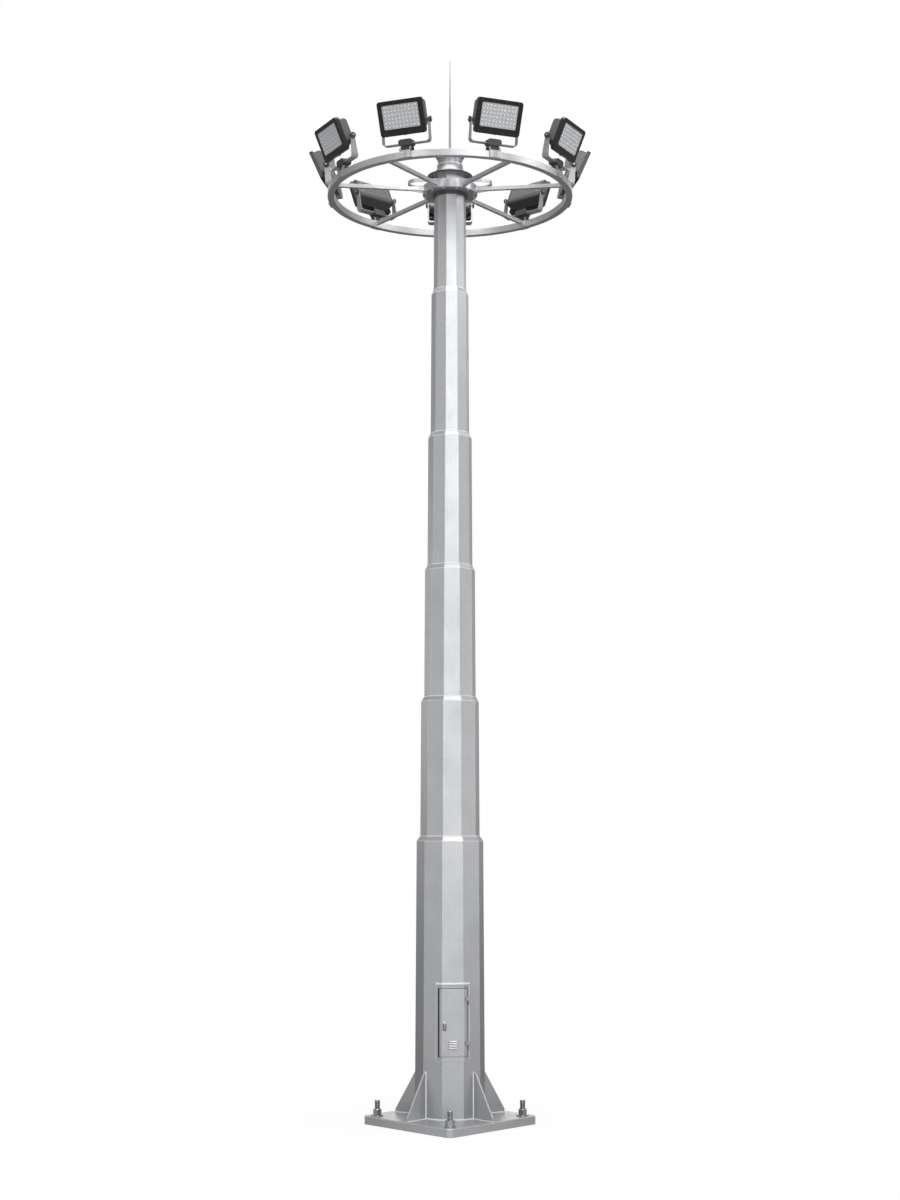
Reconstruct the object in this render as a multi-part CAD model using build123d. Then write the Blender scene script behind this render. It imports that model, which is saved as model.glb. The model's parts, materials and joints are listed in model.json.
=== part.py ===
from build123d import *
import os
from math import atan, cos, degrees, hypot, radians, sin, tan

# High mast floodlight tower, in millimetres, with +Z up. The origin is the centre of the base plate's
# underside. The front looks along -Y, and a bearing is an angle in degrees from the front towards +X.

# ---- Fits shared by all the pieces ----
seat_gap = 0.3
moving_gap = 6.0
bore_clearance = 0.2

# ---- Base plate, anchors and gussets ----
plate_side = 1450.0
plate_thickness = 95.0
plate_corner_cut = 50.0
plate_edge_chamfer = 6.0
cable_hole_radius = 150.0
anchor_circle_radius = 844.0
anchor_count = 4
stud_radius = 32.0
thread_middle_radius = 30.0
stud_end_length = 100.0
stud_end_chamfer = 5.0
anchor_hole_clearance = 4.0
nut_across_flats = 95.0
nut_height = 64.0
washer_radius = 72.0
washer_bore_radius = 33.5
washer_thickness = 12.0
gusset_bearings = [45.0, 112.5, 180.0, 247.5, 315.0]
gusset_reach = 690.0
gusset_height = 525.0
gusset_toe_height = 40.0
gusset_top_flat = 25.0
gusset_thickness = 22.0

# ---- Ten-sided shaft ----
shaft_sides = 10
shaft_turn = 5.0
shaft_slope = 0.0045
section_radii = [410.0, 353.0, 309.0, 272.0, 236.0, 201.0]
section_lengths = [3216.0, 1645.0, 1580.0, 1619.0, 1788.0, 1467.0]
section_walls = [8.0, 8.0, 6.0, 6.0, 6.0, 6.0]
reducer_height = 55.0
joint_ledge = 4.0

# ---- Door ----
door_level = 713.0
door_width = 332.0
door_height = 766.0
door_corner = 10.0
door_thickness = 8.0
door_lock_side_gap = 17.0
opening_side_overlap = 16.0
opening_height = 734.0
opening_corner = 60.0
surround_side = 24.0
surround_proud = 14.0
surround_top = 61.0
surround_bottom = 57.0
surround_corner = 26.0
hood_reach = 30.0
hood_height = 22.0
vent_width = 118.0
vent_height = 118.0
vent_proud = 9.0
vent_margin = 10.0
vent_level = 69.0
vent_slots = 5
vent_slot_height = 8.0
vent_slot_slant = 35.0
handle_offset = -98.0
handle_level = 283.0
handle_width = 47.0
handle_height = 133.0
handle_thickness = 9.0
handle_recess_depth = 6.0
handle_boss_radius = 17.0
lever_width = 17.0
hinge_levels = [84.0, 580.0]
hinge_height = 92.0
hinge_from_door_edge = 19.0
knuckle_radius = 9.0
hinge_pin_radius = 5.0
hinge_stand_off = 2.0
hinge_half_gap = 1.0
hinge_strap_length = 44.0
hinge_strap_thickness = 6.0
hinge_foot_depth = 5.0

# ---- Hub, spokes and ring ----
drum_drop = 253.0
drum_height = 100.0
drum_radius = 337.0
drum_wall = 8.0
collar_height = 42.0
collar_wall = 18.0
ring_radius = 1508.0
ring_width = 80.0
ring_height = 80.0
ring_wall = 5.0
ring_parts = 3
spoke_bearings = [31.0, 76.0, 139.0, 221.0, 284.0, 329.0]
spoke_size = 45.0
spoke_wall = 4.0
spoke_dish = 42.0
spoke_above_ring_centre = 13.0
spoke_gusset_length = 182.0
spoke_gusset_thickness = 10.0
hoop_bearings = [90.0, 270.0]
hoop_reach = 520.0
hoop_width = 270.0
hoop_bar_height = 45.0
hoop_bar_thickness = 9.0
hoop_above_drum = 50.0

# ---- Bell skirt, neck and lightning rod ----
skirt_radius = 277.0
skirt_height = 144.0
skirt_below_shaft_top = 25.0
skirt_wall = 6.0
skirt_seat_thickness = 10.0
skirt_seat_bore = 60.0
neck_radius = 150.0
neck_base_radius = 158.0
neck_base_height = 14.0
neck_wall = 8.0
neck_height = 126.0
flange_radius = 186.0
flange_thickness = 20.0
rib_count = 8
rib_height = 75.0
rib_thickness = 10.0
rod_base_radius = 27.5
rod_base_foot_radius = 48.0
rod_base_foot_height = 12.0
rod_base_height = 60.0
rod_lower_length = 560.0
rod_lower_radii = [16.5, 13.0]
rod_upper_length = 606.0
rod_upper_radii = [10.0, 3.0]

# ---- Lamps ----
lamp_count = 9
lamp_first_bearing = 20.0
lamp_rest_tilt = 24.0
lamp_width = 560.0
lamp_height = 400.0
lamp_frame_depth = 48.0
lamp_frame_corner = 34.0
lamp_body_depth = 100.0
lamp_body_margin = 10.0
lamp_body_top_step = 26.0
lamp_body_top_fall = 16.0
lamp_body_slope_rise = 112.0
lamp_body_slope_run = 84.0
lamp_body_corner_cut = 70.0
lamp_body_round = 48.0
lamp_wall = 6.0
lamp_front_wall = 18.0
pivot_from_front = 138.0
pivot_from_bottom = 138.0
window_width = 445.0
window_height = 272.0
window_corner = 14.0
window_rise = 15.0
window_step = 10.0
panel_thickness = 10.0
panel_recess = 3.0
boss_radius = 22.0
boss_length = 30.0
pin_radius = 8.0
pin_engagement = 26.0
knob_radius = 36.0
knob_length = 22.0
knob_edge = 5.0

# ---- Yokes, knuckles and fork brackets ----
yoke_thickness = 8.0
yoke_side_gap = 5.5
yoke_top_width = 56.0
yoke_bottom_width = 92.0
yoke_bend_radius = 40.0
yoke_drop = 256.0
yoke_lean = 8.0
yoke_above_ring = 100.0
yoke_inside_ring_face = 44.0
fork_width = 130.0
fork_plate = 12.0
fork_inner_set_back = 4.0
fork_ear_height = 48.0
fork_corner = 22.0
knuckle_width = 174.0
knuckle_depth = 112.0
knuckle_above_bar = 46.0
knuckle_below_bar = 23.0
knuckle_corner = 32.0
lug_depth = 44.0
lug_offset = 12.0
lug_bolt_drop = 64.0
lug_bolt_radius = 10.0
lug_head_radius = 22.0
lug_head_length = 20.0

# ---- Levels and radii that follow from the sizes above ----
plate_top = plate_thickness
section_levels = [plate_top + sum(section_lengths[:i]) for i in range(len(section_lengths))]
shaft_top = plate_top + sum(section_lengths)
flat_ratio = cos(radians(180.0 / shaft_sides))
drum_bottom = shaft_top - drum_drop
drum_top = drum_bottom + drum_height
drum_middle = drum_bottom + drum_height / 2
ring_level = drum_middle - spoke_dish - spoke_above_ring_centre
ring_top = ring_level + ring_height / 2
ring_inner_radius = ring_radius - ring_width
skirt_rim = shaft_top - skirt_below_shaft_top
skirt_top = skirt_rim + skirt_height
neck_top = skirt_top + neck_height + flange_thickness
door_bottom = plate_top + door_level
door_top = door_bottom + door_height
opening_width = door_width - 2 * opening_side_overlap
surround_width = door_width + 2 * surround_side
yoke_inner_half = lamp_width / 2 + yoke_side_gap
yoke_outer_half = yoke_inner_half + yoke_thickness
bar_radius = ring_radius - yoke_inside_ring_face
bar_level = ring_top + yoke_above_ring
pivot_radius = bar_radius + yoke_drop * sin(radians(yoke_lean))
pivot_level = bar_level + yoke_drop * cos(radians(yoke_lean))
lamp_bearings = [lamp_first_bearing + 360.0 / lamp_count * i for i in range(lamp_count)]


def at_bearing(shape, bearing):
    """Turn a shape that was made at the front round to its bearing."""
    return Rot(0, 0, bearing) * shape


def block(x_range, y_range, z_range):
    """A box given by its two ends along each axis."""
    sizes = [r[1] - r[0] for r in (x_range, y_range, z_range)]
    middles = [(r[0] + r[1]) / 2 for r in (x_range, y_range, z_range)]
    return Pos(*middles) * Box(*sizes)


def disc(radius, bottom, height, x=0.0, y=0.0):
    """An upright cylinder standing on a level."""
    return Pos(x, y, bottom) * Cylinder(radius, height, align=(Align.CENTER, Align.CENTER, Align.MIN))


def across(radius, x_from, x_to, y=0.0, z=0.0):
    """A cylinder lying along X."""
    rod = Cylinder(radius, abs(x_to - x_from))
    return Pos((x_from + x_to) / 2, y, z) * Rot(0, 90, 0) * rod


def many_sided(corner_radius, bottom, height, slope):
    """A tapered solid with the shaft's sides, with one flat looking to the front."""
    outline = Plane.XY.offset(bottom) * RegularPolygon(corner_radius, shaft_sides)
    return extrude(outline, amount=height, taper=degrees(atan(slope * flat_ratio)))


def shaft_radius_at(section, level):
    """The shaft's corner radius at a level of one of its sections."""
    return section_radii[section] - shaft_slope * (level - section_levels[section])


def shaft_sleeve(section, bottom, top, growth):
    """The outer form of a shaft section between two levels, grown outwards from its flats."""
    radius = shaft_radius_at(section, bottom) + growth / flat_ratio
    return many_sided(radius, bottom, top - bottom, shaft_slope)


# ---- Base ----
def base_plate():
    """A square plate with its corners to the front, back and sides, holes for cables and anchors."""
    outline = Rot(0, 0, 45) * Rectangle(plate_side, plate_side)
    outline = chamfer(outline.vertices(), plate_corner_cut)
    plate = extrude(outline, amount=plate_thickness)
    plate = chamfer(plate.faces().sort_by(Axis.Z)[-1].edges(), plate_edge_chamfer)
    plate -= disc(cable_hole_radius, 0, plate_thickness)
    hole = disc(stud_radius + anchor_hole_clearance, 0, plate_thickness, y=-anchor_circle_radius)
    return plate - around(hole, anchor_bearings())


def anchor_bearings():
    """The bearings of the anchors, starting at the front."""
    return [360.0 / anchor_count * i for i in range(anchor_count)]


def around(shape, bearings):
    """Copies of a shape at several bearings, as separate solids."""
    return Compound([solid for b in bearings for solid in at_bearing(shape, b).solids()])


def anchor_stud():
    """A rolled stud whose shank has the middle radius of its thread, with a full free end over the nut."""
    nut_top = plate_top + washer_thickness + nut_height
    shank = disc(thread_middle_radius, 0, nut_top, y=-anchor_circle_radius)
    free_end = disc(stud_radius, nut_top, stud_end_length, y=-anchor_circle_radius)
    return shank + chamfer(free_end.faces().sort_by(Axis.Z)[-1].edges(), stud_end_chamfer)


def anchor_nut():
    """A hexagon nut whose upper corners are turned down."""
    bottom = plate_top + washer_thickness
    centre = Pos(0, -anchor_circle_radius, bottom)
    nut = centre * extrude(RegularPolygon(nut_across_flats / 2, 6, major_radius=False), amount=nut_height)
    crown = centre * Cone(
        nut_across_flats / 2 + nut_height, nut_across_flats / 2, nut_height,
        align=(Align.CENTER, Align.CENTER, Align.MIN),
    )
    bore = disc(thread_middle_radius + bore_clearance, bottom, nut_height, y=-anchor_circle_radius)
    return (nut & crown) - bore


def anchor_washer():
    """A thick washer between the plate and the nut."""
    washer = disc(washer_radius, plate_top, washer_thickness, y=-anchor_circle_radius)
    return washer - disc(washer_bore_radius, plate_top, washer_thickness, y=-anchor_circle_radius)


def base_gussets():
    """Upright plates that brace the shaft's foot on the base plate."""
    inner = shaft_radius_at(0, plate_top) * flat_ratio
    outline = make_face(Polyline(
        (-inner + 30, 0), (-gusset_reach, 0), (-gusset_reach, gusset_toe_height),
        (-inner - gusset_top_flat, gusset_height), (-inner + 30, gusset_height), close=True,
    ))
    upright = Plane.YZ.offset(-gusset_thickness / 2) * outline
    plate = Pos(0, 0, plate_top) * extrude(upright, amount=gusset_thickness)
    shaft_foot = at_bearing(
        shaft_sleeve(0, plate_top - 1, plate_top + gusset_height + 1, seat_gap), shaft_turn
    )
    return around(plate, gusset_bearings) - shaft_foot


# ---- Shaft ----
def shaft_section(index):
    """One tapered tube, closed inwards at its top by a short reducer that carries the next tube."""
    bottom = section_levels[index]
    length = section_lengths[index]
    wall = section_walls[index] / flat_ratio
    is_last = index == len(section_lengths) - 1
    tube_height = length if is_last else length - reducer_height
    tube_top = bottom + tube_height
    outer = shaft_sleeve(index, bottom, tube_top, 0)
    inner = shaft_sleeve(index, bottom, tube_top, -section_walls[index])
    if not is_last:
        top_radius = section_radii[index + 1] + joint_ledge
        slope = (shaft_radius_at(index, tube_top) - top_radius) / reducer_height
        outer += many_sided(shaft_radius_at(index, tube_top), tube_top, reducer_height, slope)
        inner += many_sided(shaft_radius_at(index, tube_top) - wall, tube_top, reducer_height, slope)
    section = outer - inner
    if index == 0:
        section -= hand_hole()
    return at_bearing(section, shaft_turn)


def upright_prism(width, bottom, top, corner):
    """A prism through the front of the shaft, seen from the front as a rounded rectangle."""
    outline = RectangleRounded(width, top - bottom, corner)
    front = Plane((0, 0, (bottom + top) / 2), x_dir=(1, 0, 0), z_dir=(0, -1, 0))
    return extrude(front * outline, amount=2 * section_radii[0])


# ---- Door ----
def hand_hole():
    """The opening behind the door, centred on the leaf."""
    margin = (door_height - opening_height) / 2
    return upright_prism(opening_width, door_bottom + margin, door_top - margin, opening_corner)


def shaft_skin(inner_growth, outer_growth):
    """A layer that follows the shaft's flats round the door."""
    bottom = door_bottom - surround_bottom - 10
    top = door_top + surround_top + 10
    return shaft_sleeve(0, bottom, top, outer_growth) - shaft_sleeve(0, bottom, top, inner_growth)


def door_surround():
    """A frame that follows the flats, with a rain hood along its top and rounded lower corners."""
    bottom = door_bottom - surround_bottom
    top = door_top + surround_top
    shape = upright_prism(surround_width, bottom, top + surround_corner, surround_corner)
    shape &= block((-surround_width, surround_width), (-2000, 0), (bottom - 1, top))
    frame = shaft_skin(seat_gap, surround_proud) & shape
    hood = shaft_skin(seat_gap, surround_proud + hood_reach)
    hood &= block((-surround_width / 2, surround_width / 2), (-2000, 0), (top - hood_height, top))
    window = upright_prism(
        door_width + 2 * moving_gap, door_bottom - moving_gap, door_top + moving_gap,
        door_corner + moving_gap,
    )
    return at_bearing((frame + hood) - window, shaft_turn)


def access_door():
    """The bent leaf, flush with its surround, with a wider gap at its lock side and a hole for the vent."""
    leaf = shaft_skin(surround_proud - door_thickness, surround_proud)
    set_in = door_lock_side_gap - moving_gap
    leaf &= Pos(set_in / 2, 0, 0) * upright_prism(door_width - set_in, door_bottom, door_top, door_corner)
    bottom = door_bottom + vent_level + vent_margin
    leaf -= block(
        (-vent_width / 2 + vent_margin, vent_width / 2 - vent_margin), (-2000, 0),
        (bottom, bottom + vent_height - 2 * vent_margin),
    )
    return at_bearing(leaf, shaft_turn)


def door_vent():
    """A raised vent with slanted slots that shed rain."""
    bottom = door_bottom + vent_level
    vent = shaft_skin(surround_proud, surround_proud + vent_proud)
    vent &= upright_prism(vent_width, bottom, bottom + vent_height, vent_margin / 2)
    face = shaft_radius_at(0, bottom) * flat_ratio + surround_proud
    pitch = (vent_height - 2 * vent_margin) / vent_slots
    slot = Box(vent_width - 2 * vent_margin, 4 * vent_proud, vent_slot_height)
    for i in range(vent_slots):
        level = bottom + vent_margin + pitch * (i + 0.5)
        vent -= Pos(0, -face - vent_proud / 2, level) * Rot(vent_slot_slant, 0, 0) * slot
    return at_bearing(vent, shaft_turn)


def door_handle():
    """A recessed plate with a round boss and a lever that hangs in the recess."""
    bottom = door_bottom + handle_level
    top = bottom + handle_height
    round_end = handle_width / 2
    face = shaft_radius_at(0, bottom) * flat_ratio + surround_proud
    skin = shaft_skin(surround_proud, surround_proud + handle_thickness)
    plate = skin & Pos(handle_offset, 0, 0) * upright_prism(handle_width, bottom, top, round_end - 0.5)
    boss_level = top - round_end - 4
    recess = Pos(handle_offset, -face - handle_thickness, 0) * block(
        (-round_end + 7, round_end - 7), (-1, handle_recess_depth), (bottom + 12, boss_level - 12)
    )
    lever = Pos(handle_offset, -face - handle_thickness, 0) * block(
        (-lever_width / 2, lever_width / 2), (-7, 1), (bottom + 20, boss_level)
    )
    lever = fillet(lever.edges().filter_by(Axis.Y), lever_width / 4)
    boss = Pos(handle_offset, -face - handle_thickness, boss_level) * Rot(90, 0, 0) * Cylinder(
        handle_boss_radius, 16
    )
    return at_bearing(plate - recess + lever + boss, shaft_turn)


def hinge_place(level):
    """The frame of a hinge: X along the flat beside the door, -Y out of the surround's face."""
    face = shaft_radius_at(0, door_bottom) * flat_ratio + surround_proud
    side_flat = 360.0 / shaft_sides
    bend = face * tan(radians(side_flat / 2))
    door_edge = bend - (door_width / 2 - bend) / cos(radians(side_flat))
    return Rot(0, 0, side_flat) * Pos(hinge_from_door_edge - door_edge, -face, level)


def hinge_axis():
    """A point on the door's hinge line, in the mast's own frame."""
    stand = Pos(0, -(knuckle_radius + hinge_stand_off), 0)
    return (Rot(0, 0, shaft_turn) * hinge_place(door_bottom) * stand).position


def hinge_fixed_half():
    """The lower barrel on its foot, with the pin standing up from it."""
    half = hinge_height / 2 - hinge_half_gap / 2
    centre = -(knuckle_radius + hinge_stand_off)
    barrel = disc(knuckle_radius, 0, half, y=centre)
    foot = block((-knuckle_radius + 1, knuckle_radius - 1), (centre, hinge_foot_depth), (0, half))
    pin = disc(hinge_pin_radius, 0, hinge_height - 6, y=centre)
    return barrel + foot + pin


def hinge_moving_half():
    """The upper barrel with a strap that reaches over the gap and stands on the leaf."""
    half = hinge_height / 2 - hinge_half_gap / 2
    start = hinge_height - half
    centre = -(knuckle_radius + hinge_stand_off)
    barrel = disc(knuckle_radius, start, half, y=centre)
    strap_back = centre - hinge_strap_thickness / 2 + 2
    strap = block(
        (-hinge_strap_length, 0), (strap_back - hinge_strap_thickness, strap_back), (start, hinge_height)
    )
    foot = block(
        (-hinge_strap_length, -hinge_strap_length / 2 + 1), (strap_back - 1, hinge_foot_depth),
        (start, hinge_height),
    )
    bore = disc(hinge_pin_radius + bore_clearance, start, half - 5, y=centre)
    return barrel + strap + foot - bore


def hinge_halves(half):
    """One half at each of the two hinges, with its foot coped to the leaning face that it stands on."""
    bottom = door_bottom - surround_bottom
    top = door_top + surround_top
    face = shaft_sleeve(0, bottom, top, surround_proud + seat_gap)
    halves = [hinge_place(door_bottom + level) * half - face for level in hinge_levels]
    return at_bearing(Compound([solid for one in halves for solid in one.solids()]), shaft_turn)


# ---- Hub ----
def shaft_collar():
    """A clamp ring of the shaft's own form that carries the drum."""
    bottom = drum_bottom - collar_height
    outer = shaft_sleeve(5, bottom, drum_bottom, collar_wall)
    inner = shaft_sleeve(5, bottom - 1, drum_bottom + 1, seat_gap)
    return at_bearing(outer - inner, shaft_turn)


def hub_drum():
    """Two plates and a rim round the shaft, open on the inside, where the shaft closes it."""
    drum = disc(drum_radius, drum_bottom, drum_height)
    drum -= disc(drum_radius - drum_wall, drum_bottom + drum_wall, drum_height - 2 * drum_wall)
    bore = shaft_sleeve(5, drum_bottom - 1, drum_top + 1, seat_gap)
    return drum - at_bearing(bore, shaft_turn)


def spoke():
    """A square tube from the drum down to the ring, with a tapered gusset under its inner end."""
    rise = spoke_dish
    inner = drum_radius + seat_gap
    outer = ring_inner_radius - seat_gap
    slant = degrees(atan(rise / (outer - inner)))
    length = hypot(outer - inner, rise) + 80
    tube = Box(spoke_size, length, spoke_size) - Box(
        spoke_size - 2 * spoke_wall, length, spoke_size - 2 * spoke_wall
    )
    tube = Pos(0, -(inner + outer) / 2, drum_middle - rise / 2) * Rot(slant, 0, 0) * tube
    underside = drum_middle - spoke_size / 2 + 1
    tip_drop = spoke_gusset_length * rise / (outer - inner)
    gusset = make_face(Polyline(
        (-inner + 40, underside), (-inner + 40, drum_bottom), (-inner - 5, drum_bottom),
        (-inner - spoke_gusset_length, underside - tip_drop - 3),
        (-inner - spoke_gusset_length, underside - tip_drop), close=True,
    ))
    gusset = extrude(Plane.YZ.offset(-spoke_gusset_thickness / 2) * gusset, amount=spoke_gusset_thickness)
    reach = disc(outer, ring_level - 200, 500) - disc(inner, ring_level - 200, 500)
    return (tube + gusset) & reach


def ring_segment(index):
    """A third of the ring, a rectangular tube bent to a circle."""
    section = Rectangle(ring_width, ring_height) - Rectangle(
        ring_width - 2 * ring_wall, ring_height - 2 * ring_wall
    )
    placed = Plane.XZ * Pos(ring_radius - ring_width / 2, ring_level) * section
    arc = 360.0 / ring_parts
    segment = revolve(placed, Axis.Z, revolution_arc=arc)
    return Rot(0, 0, -90 + arc * index) * segment


def guide_hoop():
    """A flat bar bent into a level U, with both legs on the shaft."""
    level = drum_top + hoop_above_drum
    radius = hoop_width / 2
    straight = hoop_reach - radius
    outer = Pos(0, -straight / 2) * Rectangle(hoop_width, straight) + Pos(0, -straight) * Circle(radius)
    inner_width = hoop_width - 2 * hoop_bar_thickness
    inner = Pos(0, -straight / 2) * Rectangle(inner_width, straight)
    inner += Pos(0, -straight) * Circle(radius - hoop_bar_thickness)
    bar = extrude(outer - inner, amount=hoop_bar_height)
    return Pos(0, 0, level - hoop_bar_height / 2) * bar


def guide_hoops():
    """The hoops on both sides, coped to the shaft."""
    hoops = around(guide_hoop(), hoop_bearings)
    bottom = drum_top
    shaft = shaft_sleeve(5, bottom, bottom + 2 * hoop_above_drum, seat_gap)
    return hoops - at_bearing(shaft, shaft_turn)


# ---- Head ----
def bell_outline(outer_radius, inner_radius):
    """Half of a bell's section, flaring along arcs about one centre from the neck to the rim."""
    run = skirt_radius - neck_base_radius
    sweep = (run**2 + skirt_height**2) / (2 * run)
    centre = neck_base_radius + sweep

    def flare(wall, drop):
        return (centre - ((sweep + wall) ** 2 - drop**2) ** 0.5, skirt_top - drop)

    def flare_arc(wall):
        return ThreePointArc(flare(wall, 0), flare(wall, skirt_height / 2), flare(wall, skirt_height))

    outer = flare_arc(outer_radius)
    if inner_radius is None:
        inner = Line((0, skirt_top), (0, skirt_rim))
    else:
        inner = flare_arc(inner_radius)
    return make_face([outer, inner, Line(outer @ 0, inner @ 0), Line(outer @ 1, inner @ 1)])


def head_skirt():
    """A bell that flares down from the neck and hangs over the top of the shaft."""
    return revolve(Plane.XZ * bell_outline(0, skirt_wall), Axis.Z)


def skirt_seat():
    """The plate inside the bell that stands on the shaft, with a hole for the cables."""
    space = revolve(Plane.XZ * bell_outline(skirt_wall + seat_gap, None), Axis.Z)
    seat = space & disc(skirt_radius, shaft_top, skirt_seat_thickness)
    return seat - disc(skirt_seat_bore, shaft_top, skirt_seat_thickness)


def head_neck():
    """The neck tube with its foot ring, top flange and triangular ribs under the flange."""
    tube_top = skirt_top + neck_height
    neck = disc(neck_radius, skirt_top, neck_height) + disc(neck_base_radius, skirt_top, neck_base_height)
    neck += disc(flange_radius, tube_top, flange_thickness)
    neck -= disc(neck_radius - neck_wall, skirt_top, neck_height)
    rib = make_face(Polyline(
        (-neck_radius + 2, tube_top), (-flange_radius + 6, tube_top), (-flange_radius + 6, tube_top - 10),
        (-neck_radius + 2, tube_top - rib_height), close=True,
    ))
    rib = extrude(Plane.YZ.offset(-rib_thickness / 2) * rib, amount=rib_thickness)
    for i in range(rib_count):
        neck += at_bearing(rib, 360.0 / rib_count * (i + 0.5))
    return neck


def rod_base():
    """The socket that holds the lightning rod on the flange."""
    socket = disc(rod_base_radius, neck_top, rod_base_height)
    return socket + disc(rod_base_foot_radius, neck_top, rod_base_foot_height)


def lightning_rod():
    """Two tapered stages, the upper one thinner."""
    bottom = neck_top + rod_base_height
    low, high = rod_lower_radii
    align = (Align.CENTER, Align.CENTER, Align.MIN)
    lower = Pos(0, 0, bottom) * Cone(low, high, rod_lower_length, align=align)
    low, high = rod_upper_radii
    upper = Pos(0, 0, bottom + rod_lower_length) * Cone(low, high, rod_upper_length, align=align)
    return lower + upper


# ---- Lamp, made upright with its pivot at the origin and its face to the front ----
lamp_front = -pivot_from_front
lamp_bottom = -pivot_from_bottom
lamp_top = lamp_bottom + lamp_height
frame_back = lamp_front + lamp_frame_depth
body_back = frame_back + lamp_body_depth
front_plane = Plane((0, 0, 0), x_dir=(1, 0, 0), z_dir=(0, -1, 0))


def lamp_frame(inset):
    """The lamp's front frame, with each wall moved in by an inset."""
    outline = RectangleRounded(lamp_width, lamp_height, lamp_frame_corner)
    if inset:
        outline = offset(outline, amount=-inset)
    depth = lamp_frame_depth - inset - (lamp_front_wall if inset else 0)
    start = Plane((0, frame_back - inset, 0), x_dir=(1, 0, 0), z_dir=(0, -1, 0))
    return extrude(start * Pos(0, (lamp_top + lamp_bottom) / 2) * outline, amount=depth)


def lamp_body(inset):
    """The rounded back of the lamp: a side outline crossed with a front outline."""
    start = frame_back - 2 * inset - 1
    back = body_back - inset
    top = lamp_top - lamp_body_top_step - inset
    bottom = lamp_bottom + lamp_body_margin + inset
    half = lamp_width / 2 - lamp_body_margin - inset
    side = make_face(Polyline(
        (start, bottom), (start, top), (back, top - lamp_body_top_fall),
        (back, bottom + lamp_body_slope_rise), (back - lamp_body_slope_run, bottom), close=True,
    ))
    side = fillet(side.vertices().group_by(Axis.X)[-1].sort_by(Axis.Y)[-1], lamp_body_round - inset)
    front = make_face(Polyline(
        (-half, top), (half, top), (half, bottom + lamp_body_corner_cut),
        (half - lamp_body_corner_cut, bottom), (-half + lamp_body_corner_cut, bottom),
        (-half, bottom + lamp_body_corner_cut), close=True,
    ))
    front = fillet(front.vertices().group_by(Axis.Y)[-1], lamp_body_round / 2 - inset)
    depth = extrude(Plane.YZ.offset(-half) * side, amount=2 * half)
    face = Plane((0, back, 0), x_dir=(1, 0, 0), z_dir=(0, -1, 0))
    return depth & extrude(face * front, amount=back - start + 10)


def window_prism(growth, depth):
    """A prism back from the lamp's face, of the window's form."""
    middle = (lamp_top + lamp_bottom) / 2 + window_rise
    size = [window_width + 2 * growth, window_height + 2 * growth]
    outline = RectangleRounded(size[0], size[1], window_corner + growth)
    start = Plane((0, lamp_front, middle), x_dir=(1, 0, 0), z_dir=(0, 1, 0))
    return extrude(start * outline, amount=depth)


def lamp_housing():
    """A hollow cast housing with a stepped window and a boss at each pivot."""
    housing = lamp_frame(0) + lamp_body(0)
    housing -= lamp_frame(lamp_wall) + lamp_body(lamp_wall)
    housing -= window_prism(0, panel_thickness + panel_recess)
    housing -= window_prism(-window_step, lamp_frame_depth)
    boss_end = lamp_width / 2
    for side in (-1, 1):
        housing += across(boss_radius, side * (boss_end - boss_length), side * boss_end)
        housing -= across(pin_radius + bore_clearance, side * (boss_end - boss_length), side * boss_end)
    return housing


def lamp_panel():
    """The front panel, seated on the window's step."""
    panel = window_prism(-seat_gap, panel_recess + panel_thickness)
    return panel - window_prism(0, panel_recess)


def lamp_place(bearing):
    """Where the lamp stands at rest, tilted down about its pivots."""
    return Rot(0, 0, bearing) * Pos(0, -pivot_radius, pivot_level) * Rot(lamp_rest_tilt, 0, 0)


# ---- Yoke, knuckle and fork ----
def yoke_place(bearing):
    """The frame of a yoke: its pivots at the origin, leaning out from the ring."""
    return Rot(0, 0, bearing) * Pos(0, -pivot_radius, pivot_level) * Rot(yoke_lean, 0, 0)


def yoke():
    """A plate bent to a U, tapering up to round ends at the pivots."""
    top = yoke_top_width / 2
    bottom = -yoke_drop - yoke_thickness / 2
    outer = RectangleRounded(2 * yoke_outer_half, 2 * -bottom, yoke_bend_radius)
    inner = RectangleRounded(
        2 * yoke_inner_half, 2 * (-bottom - yoke_thickness), yoke_bend_radius - yoke_thickness
    )
    bent = extrude(front_plane * (outer - inner), amount=yoke_bottom_width / 2, both=True)
    side = make_face(Polyline(
        (-yoke_bottom_width / 2, bottom), (yoke_bottom_width / 2, bottom), (top, 0), (-top, 0), close=True,
    ))
    side += Circle(top)
    shape = extrude(Plane.YZ * side, amount=yoke_outer_half, both=True)
    pin_hole = across(pin_radius + seat_gap / 2, -yoke_outer_half, yoke_outer_half)
    return (bent & shape) - pin_hole


def pivot_knob():
    """A round knob against the arm, with the pin that the lamp turns on."""
    inner_end = lamp_width / 2 - pin_engagement
    pin = across(pin_radius, inner_end, yoke_outer_half + 1)
    knob = across(knob_radius, yoke_outer_half, yoke_outer_half + knob_length)
    knob = chamfer(knob.faces().sort_by(Axis.X)[-1].edges(), knob_edge)
    return pin + knob


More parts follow.
